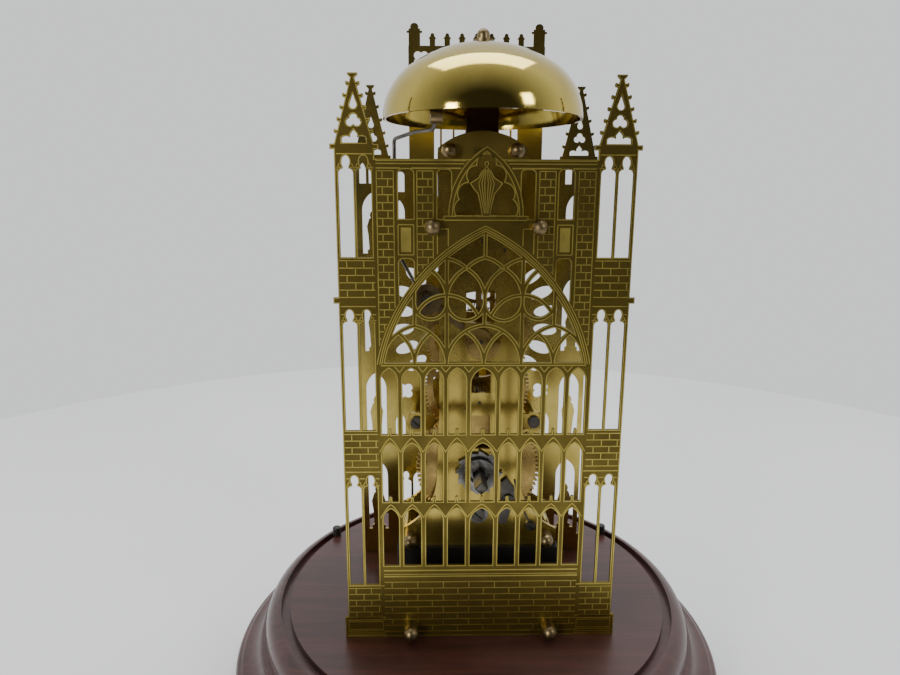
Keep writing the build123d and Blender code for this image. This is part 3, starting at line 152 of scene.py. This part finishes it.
def wood(name):
    """Dark red-brown mahogany: long pores run across the disc, under worn satin polish."""
    shader = Shader(name, metallic=0.0, roughness=0.33, specular=0.45)
    grain_space = shader.scaled(6.0, 60.0, 90.0, turn=(0, 0, math.radians(8)))
    figure = shader.noise(2.2, detail=6.0, rough=0.62, vector=grain_space, distortion=1.2)
    pores = shader.noise(26.0, detail=3.0, rough=0.7, vector=grain_space)
    clouds = shader.noise(11.0, detail=3.0, rough=0.5)
    dark, red, light = (0.020, 0.006, 0.005), (0.046, 0.013, 0.010), (0.082, 0.024, 0.017)
    in_pores, worn = (0.014, 0.005, 0.004), (0.098, 0.042, 0.032)
    body = shader.ramp(figure, (0.25, dark), (0.5, red), (0.78, light))
    body = shader.mix(shader.spread(pores, 0.0, 0.55, start=0.5, end=0.72), body, in_pores)
    body = shader.mix(shader.spread(clouds, 0.0, 0.45, start=0.45, end=0.7), body, worn)
    shader.colour(body)
    shader.rough(shader.spread(clouds, low=0.26, high=0.44))
    shader.bump(pores, PORE_DEPTH, strength=0.35)
    shader.main.inputs["Coat Weight"].default_value = 0.25
    shader.main.inputs["Coat Roughness"].default_value = 0.22
    return shader.material


def paint(name, light, dark, rough, coat=0.0):
    """Opaque finish with slight mottling and a soft orange-peel surface."""
    shader = Shader(name, metallic=0.0, roughness=rough)
    cloud = shader.noise(90.0, detail=4.0, rough=0.6)
    shader.colour(shader.ramp(cloud, (0.35, dark), (0.65, light)))
    shader.rough(shader.spread(cloud, low=rough * 1.2, high=rough * 0.85))
    shader.bump(shader.noise(900.0, detail=2.0), PEEL_DEPTH, strength=0.4)
    shader.main.inputs["Coat Weight"].default_value = coat
    return shader.material


def felt(name):
    """Dark green felt."""
    shader = Shader(name, metallic=0.0, roughness=0.95, specular=0.1)
    fibres = shader.noise(2600.0, detail=5.0, rough=0.7)
    dark, light = (0.012, 0.045, 0.018), (0.035, 0.10, 0.045)
    shader.colour(shader.ramp(fibres, (0.3, dark), (0.7, light)))
    shader.bump(fibres, FIBRE_DEPTH, strength=0.8)
    shader.main.inputs["Sheen Weight"].default_value = 0.5
    return shader.material


finishes = {
    "mahogany": wood("mahogany"),
    "felt": felt("felt"),
    "etched_brass": metal(
        "etched_ground", light=(0.175, 0.130, 0.026), dark=(0.105, 0.076, 0.015), rough=0.33,
        patches=45.0, stretch=(1, 1, 8), grain=900.0, metallic=0.85,
    ),
    "plain_brass": metal(
        "plain_brass", light=(0.60, 0.475, 0.135), dark=(0.48, 0.370, 0.090), rough=0.20,
        patches=50.0, stretch=(1, 1, 10),
    ),
    "polished_brass": metal(
        "polished_brass", light=(0.56, 0.440, 0.110), dark=(0.38, 0.290, 0.060), rough=0.085,
        patches=28.0, stretch=(1, 1, 14), grain=900.0,
    ),
    "wheel_brass": metal(
        "wheel_brass", light=(0.50, 0.350, 0.120), dark=(0.32, 0.215, 0.070), rough=0.27,
        patches=120.0,
    ),
    "dark_bronze": metal(
        "dark_bronze", light=(0.24, 0.180, 0.090), dark=(0.12, 0.088, 0.045), rough=0.38,
        patches=160.0,
    ),
    "steel": metal(
        "steel", light=(0.15, 0.14, 0.125), dark=(0.07, 0.063, 0.054), rough=0.36,
        patches=150.0, stretch=(1, 12, 1),
    ),
    "polished_steel": metal(
        "polished_steel", light=(0.30, 0.295, 0.285), dark=(0.15, 0.145, 0.14), rough=0.24,
        patches=140.0,
    ),
    "blued_steel": metal(
        "blued_steel", light=(0.040, 0.062, 0.190), dark=(0.024, 0.034, 0.110), rough=0.24,
        patches=140.0,
    ),
    "black_paint": paint(
        "black_paint", light=(0.014, 0.013, 0.012), dark=(0.008, 0.007, 0.007), rough=0.42,
    ),
    # painted shade: the bell's standard gets a dark brown colour for the shadow that the bell casts
    # on it, not the tone of its own metal
    "dark_strap": metal(
        "dark_strap", light=(0.085, 0.045, 0.022), dark=(0.045, 0.022, 0.012), rough=0.33,
        patches=80.0,
    ),
    "silvered": paint(
        "silvered", light=(0.72, 0.71, 0.66), dark=(0.62, 0.60, 0.54), rough=0.42,
    ),
    "ruby": paint(
        "ruby", light=(0.42, 0.010, 0.045), dark=(0.30, 0.006, 0.030), rough=0.12, coat=0.6,
    ),
}
line_brass = metal(
    "etched_line", light=(0.60, 0.490, 0.125), dark=(0.46, 0.370, 0.085), rough=0.36,
    patches=70.0,
)
plate_brass = metal(
    "plate_brass", light=(0.60, 0.455, 0.115), dark=(0.46, 0.345, 0.078), rough=0.2,
    patches=24.0, stretch=(1, 1, 12), grain=900.0, metallic=0.9,
)
own_finish = {"rear_plate": plate_brass, "front_plate": plate_brass}

for name, node in nodes.items():
    node.data.materials.clear()
    node.data.materials.append(own_finish.get(name, finishes[slots[name]]))

# ---------------------------------------------------------------- how raised lines are laid
LINE_HEIGHT = 0.12 * MM
LINE_ROOT = 0.02 * MM  # how deep a line's foot stands in the metal
FACE_FACING = 0.9  # least share of a flat face's normal that points out
FACE_DEPTH = 0.1 * MM  # how far a flat face may lie from the part's outer face
WELD = 1e-6
SHARP_FOLD = 0.2  # an edge line takes no mitre where its two sides' directions sum to less
MITRE_LIMIT = 0.55
PROBE_START = 5 * MM  # a probe for metal starts this far off the face
PROBE_LENGTH = 8 * MM
LINE_STEP = 0.4
SHORTEST_RUN = 3  # points
STRAIGHT = 0.99999  # least cosine between the steps of a straight line

# widths of raised lines, and how far round a line's points its metal has to reach
HAIR = 0.35
THIN = 0.4
BRICK_LINE = 0.38
ARCH_LINE, ARCH_MARGIN = 0.36, 0.3
GABLED_LINE, GABLED_MARGIN = 0.34, 0.25
FOLD_LINE, FOLD_MARGIN = 0.3, 0.2
WIDE_MARGIN = 0.55
SHORTEST_BRICK = 0.5
ARCH_PARTS, HOOD_PARTS = 90, 12


def screen_point(x, height, y):
    """A point on a screen, from millimetres along its face and its own depth y in metres."""
    return Vector((x * MM, y, BASE_TOP + height * MM))


def corner(point):
    """A point rounded for use as a key."""
    return tuple(round(c, 7) for c in point)


class Relief:
    """Thin raised lines on one face of a flat part, gathered in one mesh."""

    def __init__(self, node, y, out):
        self.y = y
        self.out = out
        self.mesh = bmesh.new()
        source = bmesh.new()
        source.from_mesh(nodes[node].data)
        bmesh.ops.remove_doubles(source, verts=source.verts, dist=WELD)
        source.normal_update()
        self.tree = BVHTree.FromBMesh(source)
        self.rings = self.boundary([face for face in source.faces if self.on_face(face)])
        source.free()

    def on_face(self, face):
        """True for the faces that make up the part's flat outer face."""
        near = abs(face.calc_center_median().y - self.y) < FACE_DEPTH
        return near and face.normal.y * self.out > FACE_FACING

    @staticmethod
    def boundary(faces):
        """Rings of points round the flat face's edges, with the metal on each ring's left."""
        chosen = set(faces)
        follow = {}
        for face in faces:
            for loop in face.loops:
                if not any(f is not face and f in chosen for f in loop.edge.link_faces):
                    start, end = loop.vert.co.copy(), loop.link_loop_next.vert.co.copy()
                    follow.setdefault(corner(start), []).append((start, end))
        rings = []
        while follow:
            key = next(iter(follow))
            ring = []
            while key in follow:
                start, end = follow[key].pop()
                if not follow[key]:
                    del follow[key]
                ring.append(start)
                key = corner(end)
            if len(ring) > 2:
                rings.append(ring)
        return rings

    def strip(self, inner, outer, closed):
        """Raised strip between two rows of points on the face."""
        lift = Vector((0, self.out * LINE_HEIGHT, 0))
        foot = Vector((0, -self.out * LINE_ROOT, 0))
        rows = []
        for a, b in zip(inner, outer):
            section = (a + foot, a + lift, b + lift, b + foot)
            rows.append([self.mesh.verts.new(point) for point in section])
        pairs = list(zip(rows, rows[1:]))
        if closed:
            pairs.append((rows[-1], rows[0]))
        for first, second in pairs:
            for k in range(4):
                after = (k + 1) % 4
                self.mesh.faces.new((first[k], first[after], second[after], second[k]))
        if not closed:
            self.mesh.faces.new(rows[0])
            self.mesh.faces.new(rows[-1])

    def bead(self, inset, width):
        """Line that follows every edge of the screen, set in from the edge; both in millimetres."""
        near_edge, far_edge = inset * MM, (inset * MM + width * MM)
        outward = Vector((0, self.out, 0))
        for ring in self.rings:
            near, far = [], []
            for i, point in enumerate(ring):
                before = (point - ring[i - 1]).normalized()
                after = (ring[(i + 1) % len(ring)] - point).normalized()
                to_metal = outward.cross(after)
                middle = outward.cross(before) + to_metal
                if middle.length < SHARP_FOLD:
                    middle = to_metal
                middle.normalize()
                reach = 1 / max(MITRE_LIMIT, middle.dot(to_metal))
                near.append(point + middle * near_edge * reach)
                far.append(point + middle * far_edge * reach)
            self.strip(near, far, True)

    def solid(self, x, height):
        """True where the part has metal."""
        origin = screen_point(x, height, self.y + self.out * PROBE_START)
        hit = self.tree.ray_cast(origin, Vector((0, -self.out, 0)), PROBE_LENGTH)
        return hit[0] is not None

    def clear(self, x, height, margin, keep):
        """True where the whole width of a line stands on metal, and keep allows it."""
        around = ((0, 0), (margin, 0), (-margin, 0), (0, margin), (0, -margin))
        return keep(x, height) and all(self.solid(x + a, height + b) for a, b in around)

    def line(self, points, width=THIN, margin=WIDE_MARGIN, keep=lambda x, h: True):
        """Raised line through points, kept only where it stands on metal."""
        fine = []
        for (x1, h1), (x2, h2) in zip(points, points[1:]):
            parts = max(1, round(math.hypot(x2 - x1, h2 - h1) / LINE_STEP))
            for k in range(parts):
                fine.append((x1 + (x2 - x1) * k / parts, h1 + (h2 - h1) * k / parts))
        fine.append(points[-1])
        run = []
        for point in fine + [None]:
            if point is not None and self.clear(*point, margin, keep):
                run.append(point)
                continue
            if len(run) >= SHORTEST_RUN:
                self.lay(run, width)
            run = []

    def level(self, height, half, width=THIN, middle=0.0, keep=lambda x, h: True):
        """Level line, half to each side of its middle."""
        self.line([(middle - half, height), (middle + half, height)], width, keep=keep)

    def lay(self, run, width):
        """One unbroken stretch of line."""
        inner, outer = [], []
        for i, (x, h) in enumerate(run):
            ahead = run[min(i + 1, len(run) - 1)]
            behind = run[max(i - 1, 0)]
            along = Vector((ahead[0] - behind[0], ahead[1] - behind[1])).normalized()
            side = Vector((-along.y, along.x)) * width / 2
            inner.append(screen_point(x - side.x, h - side.y, self.y))
            outer.append(screen_point(x + side.x, h + side.y, self.y))
        # straight stretches need only their ends
        steps = [(after - before).normalized() for before, after in zip(outer, outer[1:])]
        if all(step.dot(steps[0]) > STRAIGHT for step in steps):
            inner, outer = [inner[0], inner[-1]], [outer[0], outer[-1]]
        self.strip(inner, outer, False)

    def finish(self, name, material):
        """Make the piece from all lines that were laid."""
        bmesh.ops.recalc_face_normals(self.mesh, faces=self.mesh.faces)
        mesh = bpy.data.meshes.new(name)
        self.mesh.to_mesh(mesh)
        self.mesh.free()
        piece = bpy.data.objects.new(name, mesh)
        bpy.context.scene.collection.objects.link(piece)
        mesh.materials.append(material)
        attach(piece, "frame")


def arc(centre_x, centre_h, radius, start, end, parts):
    """Points of an arc in millimetres and degrees."""
    angles = [math.radians(start + (end - start) * k / parts) for k in range(parts + 1)]
    return [(centre_x + radius * math.cos(a), centre_h + radius * math.sin(a)) for a in angles]


def beds(top, course, count):
    """Heights of the bed joints of brickwork, from the top down."""
    return [top - course * k for k in range(count)]


def bricks(relief, left, right, rows, length, offsets, keep=lambda x, h: True):
    """Courses of bricks: a bed joint at each row, and upright joints that start at each of the
    two offsets in turn."""
    for row in rows:
        relief.line([(left, row), (right, row)], BRICK_LINE, keep=keep)
    for index, (top, bottom) in enumerate(zip(rows, rows[1:])):
        x = left + offsets[index % 2]
        while x < right - SHORTEST_BRICK:
            relief.line([(x, bottom), (x, top)], BRICK_LINE, keep=keep)
            x += length


# ---------------------------------------------------------------- winding-side screen's lines
EDGE_INSET, EDGE_WIDTH = 0.10, 0.36

# the wall's mouldings are (height, width) pairs
PLINTH_MOULDINGS, PLINTH_HALF = ((32.5, 0.55), (30.6, 0.35), (29.6, 0.55)), 42.4
PLINTH_BRICKWORK = (26.9, 3.05, 9)  # top bed joint, course, number of bed joints
PLINTH_BRICKS_HALF = 42.2
PLINTH_BRICK_LENGTH, PLINTH_BRICK_OFFSETS = 11.25, (3.3, 9.7)
CORNICE_MOULDINGS, CORNICE_HALF = ((205.9, 0.5), (204.7, 0.4), (203.0, 0.55)), 42.6
SILL_HEIGHT, SILL_HALF = 124.9, 42.0

# towers, measured from each tower's middle line
TOWER_X = 50.7
TOWER_BRICKWORK = ((24.0, 2.9), (95.4, 2.92), (167.6, 2.92))  # top bed joint, course
TOWER_BEDS = 6
TOWER_BRICKS_HALF = 7.0
TOWER_BRICK_LENGTH, TOWER_BRICK_OFFSETS = 6.7, (3.0, 6.4)
TOWER_MOULDINGS = (
    (9.6, 0.6), (8.4, 0.4), (2.9, 0.35), (1.9, 0.35), (0.8, 0.6), (25.2, 0.45), (78.6, 0.45),
)
TOWER_MOULDING_HALF = 8.6
TABLET_LOW, TABLET_HIGH, TABLET_HALF = 3.7, 7.6, 7.6
STRING_COURSES, STRING_HALF = (72.4, 75.6, 143.6, 146.0, 149.3, 203.2, 208.2), 7.2
LIGHT_SPRINGS, LIGHT_MIDDLE = (70.8, 141.8, 201.5), 3.42
HOOD_CENTRE, HOOD_DROP, HOOD_RADIUS, HOOD_SWEEP = 2.9, 0.2, 6.2, 58

# each half of the wall, measured from the screen's middle line
QUOINS = ((126.0, 202.0, 35.9, 42.4), (150.0, 202.0, 20.6, 26.9))  # low, high, inner, outer
QUOIN_COURSE, QUOIN_OFFSETS = 3.0, (2.2, 4.3)
QUOIN_LENGTH = 20.0  # longer than the strip is wide, so each course has one upright joint
PANELS = ((28.2, 34.3, 169.9, 181.6), (14.7, 19.0, 170.2, 180.0))  # inner, outer, low, high
PANEL_FIELDS = ((31.25, 171.0, 180.5, 4.0), (16.85, 171.3, 178.9, 2.3))  # x, low, high, width

# pointed arches: each side is struck from a centre on the other side of the middle line
ARCH_CENTRE_X, ARCH_CENTRE_H, ARCH_RADIUS, ARCH_FOOT = 31.6, 111.6, 76.6, 125.4
ARCH_OFFSETS = (0.25, 1.25, 2.05)
ARCH_CLEAR, GABLE_CLEAR = 0.4, 0.5  # how far the wall's lines keep outside each arch
GABLE_HALF, GABLE_FOOT, GABLE_RISE = 14.8, 185.2, 26.2
GABLE_RADIUS = (GABLE_HALF**2 + GABLE_RISE**2) / (2 * GABLE_HALF)
GABLE_CENTRE_X = GABLE_RADIUS - GABLE_HALF
GABLE_OFFSETS = (0.1, 1.7)
GABLE_SILLS, GABLE_SILL_HALF = (184.9, 183.4), 16.2

# rows of lights under the big arch
MULLIONS = (6.05, 15.55, 24.95, 34.45, 43.2)
GABLETS = ((87.4, 93.6), (57.6, 63.6))  # foot and top of the gabled lines over the lights
GABLET_PARTS, GABLET_CURVE = 8, 1.35
DROP_HALF, DROP_TOP, DROP_TIP = 1.9, 124.4, 122.1

FOLDS = (-3.0, -1.8, -0.7, 0.7, 1.8, 3.0)  # x of the robe's folds at their widest
FOLD_SHAPE = ((0.3, 202.6), (1.0, 197.4), (0.75, 193.8), (0.25, 186.0))  # share of x, height


def in_arch(x, h, centre_x, centre_h, foot, radius):
    """True inside a pointed arch."""
    return h > foot and math.hypot(abs(x) + centre_x, h - centre_h) < radius


def wall_only(x, h):
    """True on the flat wall, outside the big arch and the gable."""
    arch = in_arch(x, h, ARCH_CENTRE_X, ARCH_CENTRE_H, ARCH_FOOT, ARCH_RADIUS + ARCH_CLEAR)
    gable = in_arch(x, h, GABLE_CENTRE_X, GABLE_FOOT, GABLE_FOOT, GABLE_RADIUS + GABLE_CLEAR)
    return not arch and not gable


def arch_lines(relief, centre_x, centre_h, foot, radius):
    """One line along both sides of a pointed arch."""
    low = math.degrees(math.asin((foot - centre_h) / radius))
    high = math.degrees(math.acos(centre_x / radius))
    right_side = arc(-centre_x, centre_h, radius, low, high, ARCH_PARTS)
    left_side = arc(centre_x, centre_h, radius, 180 - low, 180 - high, ARCH_PARTS)
    for points in (right_side, left_side):
        relief.line(points, ARCH_LINE, ARCH_MARGIN)


def tower_lines(relief, side):
    """Brick bands, mouldings, blank tablet, string courses and hoods of one tower."""
    tower = side * TOWER_X
    left, right = tower - TOWER_BRICKS_HALF, tower + TOWER_BRICKS_HALF
    for top, course in TOWER_BRICKWORK:
        rows = beds(top, course, TOWER_BEDS)
        bricks(relief, left, right, rows, TOWER_BRICK_LENGTH, TOWER_BRICK_OFFSETS)
    for height, width in TOWER_MOULDINGS:
        relief.level(height, TOWER_MOULDING_HALF, width, tower)
    for height in (TABLET_HIGH, TABLET_LOW):
        relief.level(height, TABLET_HALF, HAIR, tower)
    for x in (tower - TABLET_HALF, tower + TABLET_HALF):
        relief.line([(x, TABLET_LOW), (x, TABLET_HIGH)], HAIR)
    for height in STRING_COURSES:
        relief.level(height, STRING_HALF, THIN, tower)
    # pointed hoods over each pair of lights
    for spring in LIGHT_SPRINGS:
        for across in (-LIGHT_MIDDLE, LIGHT_MIDDLE):
            for sign in SIDES:
                start, end = (0, HOOD_SWEEP) if sign < 0 else (180, 180 - HOOD_SWEEP)
                centre_x = tower + across + sign * HOOD_CENTRE
                hood = arc(centre_x, spring - HOOD_DROP, HOOD_RADIUS, start, end, HOOD_PARTS)
                relief.line(hood, HAIR)


def wall_lines(relief, side):
    """Quoins on the two upright strips of half the wall, and borders of its blind panels."""
    for low, high, inner, outer in QUOINS:
        left, right = sorted((side * inner, side * outer))
        rows = beds(high, QUOIN_COURSE, int((high - low) / QUOIN_COURSE))
        bricks(relief, left, right, rows, QUOIN_LENGTH, QUOIN_OFFSETS, wall_only)
        for x in (left, right):
            relief.line([(x, low), (x, high)], HAIR, keep=wall_only)
    for inner, outer, low, high in PANELS:
        near, far = side * inner, side * outer
        corners = [(near, low), (far, low), (far, high), (near, high), (near, low)]
        for start, end in zip(corners, corners[1:]):
            relief.line([start, end], THIN, keep=wall_only)


rear = Relief("rear_screen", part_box("rear_screen")[0].y, -1)
rear.bead(EDGE_INSET, EDGE_WIDTH)

# plinth wall: mouldings and eight courses of bricks
for height, width in PLINTH_MOULDINGS:
    rear.level(height, PLINTH_HALF, width)
bricks(
    rear, -PLINTH_BRICKS_HALF, PLINTH_BRICKS_HALF, beds(*PLINTH_BRICKWORK),
    PLINTH_BRICK_LENGTH, PLINTH_BRICK_OFFSETS,
)
for side in SIDES:
    tower_lines(rear, side)
    wall_lines(rear, side)
for height, width in CORNICE_MOULDINGS:
    rear.level(height, CORNICE_HALF, width, keep=wall_only)

# parallel lines of the big arch and of the gable, and their sills
for offset in ARCH_OFFSETS:
    arch_lines(rear, ARCH_CENTRE_X, ARCH_CENTRE_H, ARCH_FOOT, ARCH_RADIUS - offset)
for offset in GABLE_OFFSETS:
    arch_lines(rear, GABLE_CENTRE_X, GABLE_FOOT, GABLE_FOOT, GABLE_RADIUS - offset)
for height in GABLE_SILLS:
    rear.level(height, GABLE_SILL_HALF)
rear.level(SILL_HEIGHT, SILL_HALF)

# gabled lines over each light's head in the lower rows, and small drops under the arch's sill
uprights = [-x for x in reversed(MULLIONS)] + list(MULLIONS)
for left, right in zip(uprights, uprights[1:]):
    across, half = (left + right) / 2, (right - left) / 2
    for foot, top in GABLETS:
        curve = []
        for k in range(-GABLET_PARTS, GABLET_PARTS + 1):
            fall = (abs(k) / GABLET_PARTS) ** GABLET_CURVE
            curve.append((across + half * k / GABLET_PARTS, foot + (top - foot) * (1 - fall)))
        rear.line(curve, GABLED_LINE, GABLED_MARGIN)
for x in uprights[1:-1]:
    drop = [(x - DROP_HALF, DROP_TOP), (x, DROP_TIP), (x + DROP_HALF, DROP_TOP)]
    rear.line(drop, GABLED_LINE, GABLED_MARGIN)

# raised fields of the blind panels
for side in SIDES:
    for x, low, high, width in PANEL_FIELDS:
        ends = (side * x - width / 2, side * x + width / 2)
        if all(wall_only(end, low) for end in ends):
            rear.lay([(side * x, low), (side * x, high)], width)
# folds of the figure's robe
for fold in FOLDS:
    points = [(fold * share, height) for share, height in FOLD_SHAPE]
    rear.line(points, FOLD_LINE, FOLD_MARGIN)
rear.finish("rear_screen_relief", line_brass)

# ---------------------------------------------------------------- dial-side screen and dial
FRONT_TOP_BED, FRONT_COURSE, FRONT_BEDS = 11.4, 2.9, 4
FRONT_BRICK_OFFSETS = (3.3, 9.0)
FRONT_TOWER_INNER, FRONT_TOWER_OUTER = 42.0, 59.0
FRONT_TOWER_BRICKS = (16.0, 84.0, 152.0)  # lowest bed joint of each band

front = Relief("front_screen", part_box("front_screen")[1].y, 1)
front.bead(EDGE_INSET, EDGE_WIDTH)
bricks(
    front, -PLINTH_BRICKS_HALF, PLINTH_BRICKS_HALF,
    beds(FRONT_TOP_BED, FRONT_COURSE, FRONT_BEDS), PLINTH_BRICK_LENGTH, FRONT_BRICK_OFFSETS,
)
for side in SIDES:
    left, right = sorted((side * FRONT_TOWER_INNER, side * FRONT_TOWER_OUTER))
    for low in FRONT_TOWER_BRICKS:
        rows = [low + FRONT_COURSE * k for k in reversed(range(FRONT_BEDS))]
        bricks(front, left, right, rows, TOWER_BRICK_LENGTH, TOWER_BRICK_OFFSETS)
front.finish("front_screen_relief", line_brass)

# plain bars for the hours and dots for the minutes on the dial ring
DIAL_HEIGHT = 130.25
HOUR_BAR, QUARTER_WIDTH, HOUR_WIDTH = (21.4, 27.2), 1.9, 1.2  # radii of a bar's ends, widths
MINUTE_DOT, FIFTH_WIDTH, MINUTE_WIDTH = (28.3, 29.2), 0.6, 0.28


def on_dial(radius, turn):
    """A point on the dial, with turn in degrees from twelve o'clock."""
    angle = math.radians(turn)
    return radius * math.sin(angle), DIAL_HEIGHT + radius * math.cos(angle)


dial = Relief("chapter_ring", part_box("chapter_ring")[1].y, 1)
for hour in range(12):
    bar = [on_dial(radius, 30 * hour) for radius in HOUR_BAR]
    dial.lay(bar, HOUR_WIDTH if hour % 3 else QUARTER_WIDTH)
for minute in range(60):
    dot = [on_dial(radius, 6 * minute) for radius in MINUTE_DOT]
    dial.lay(dot, MINUTE_WIDTH if minute % 5 else FIFTH_WIDTH)
dial.finish("dial_marks", finishes["black_paint"])

# ---------------------------------------------------------------- stage, lights and camera
FLOOR_RADIUS = 0.6
floor_mesh = bpy.data.meshes.new("floor")
floor_edit = bmesh.new()
bmesh.ops.create_circle(floor_edit, cap_ends=True, segments=96, radius=FLOOR_RADIUS)
floor_edit.to_mesh(floor_mesh)
floor_edit.free()
floor = bpy.data.objects.new("floor", floor_mesh)
bpy.context.scene.collection.objects.link(floor)
floor_shader = Shader("pale_floor", metallic=0.0, roughness=0.38, specular=0.4)
floor_clouds = floor_shader.noise(3.0, detail=2.0)
floor_tones = ((0.3, (0.80, 0.81, 0.82)), (0.7, (0.84, 0.845, 0.85)))
floor_shader.colour(floor_shader.ramp(floor_clouds, *floor_tones))
floor_mesh.materials.append(floor_shader.material)

# the room is pale behind the clock and dark on the winding side, so that brass gets dark
# reflections; the change runs over these two values of a direction's Y
DARK_Y, PALE_Y = -0.80, 0.15
ROOM_DARK, ROOM_PALE = (0.045, 0.042, 0.039, 1), (0.92, 0.93, 0.95, 1)
world = bpy.data.worlds.new("studio")
bpy.context.scene.world = world
world.use_nodes = True
world_nodes, world_links = world.node_tree.nodes, world.node_tree.links
direction = world_nodes.new("ShaderNodeTexCoord").outputs["Generated"]
split = world_nodes.new("ShaderNodeSeparateXYZ")
world_links.new(direction, split.inputs["Vector"])
span = world_nodes.new("ShaderNodeMapRange")
span.inputs["From Min"].default_value = DARK_Y
span.inputs["From Max"].default_value = PALE_Y
world_links.new(split.outputs["Y"], span.inputs["Value"])
tint = world_nodes.new("ShaderNodeValToRGB")
tint.color_ramp.elements[0].color = ROOM_DARK
tint.color_ramp.elements[1].color = ROOM_PALE
world_links.new(span.outputs["Result"], tint.inputs["Fac"])
world_links.new(tint.outputs["Color"], world_nodes["Background"].inputs["Color"])

CLOCK_MIDDLE = Vector((0, 0, 0.16))


def lamp(name, place, size, power, colour=(1, 1, 1)):
    """Soft area light that faces the clock."""
    data = bpy.data.lights.new(name, "AREA")
    data.shape = "RECTANGLE"
    data.size, data.size_y = size
    data.energy = power
    data.color = colour
    light = bpy.data.objects.new(name, data)
    light.location = place
    light.rotation_euler = (CLOCK_MIDDLE - Vector(place)).to_track_quat("-Z", "Y").to_euler()
    bpy.context.scene.collection.objects.link(light)


lamp("key", (-0.95, -1.25, 0.42), size=(0.30, 0.45), power=12.0, colour=(1.0, 0.97, 0.92))
lamp("fill", (1.1, -1.0, 0.85), size=(0.30, 0.45), power=5.0, colour=(0.97, 0.98, 1.0))
lamp("top", (0.0, 0.35, 1.7), size=(1.6, 0.8), power=21.0)

SENSOR_WIDTH, LENS = 36.0, 26.3096  # millimetres
CAMERA_PLACE = Vector((-0.0200, -0.3014, 0.1922 + BASE_TOP))
CAMERA_RIGHT = Vector((0.99973, -0.02273, 0.00362)).normalized()
CAMERA_AHEAD = Vector((0.0230, 0.9777, -0.2088)).normalized()
camera_data = bpy.data.cameras.new("camera")
camera_data.sensor_width = SENSOR_WIDTH
camera_data.lens = LENS
camera = bpy.data.objects.new("camera", camera_data)
axes = Matrix((CAMERA_RIGHT, CAMERA_RIGHT.cross(CAMERA_AHEAD), -CAMERA_AHEAD)).transposed()
camera.matrix_world = Matrix.Translation(CAMERA_PLACE) @ axes.to_4x4()
bpy.context.scene.collection.objects.link(camera)
bpy.context.scene.camera = camera
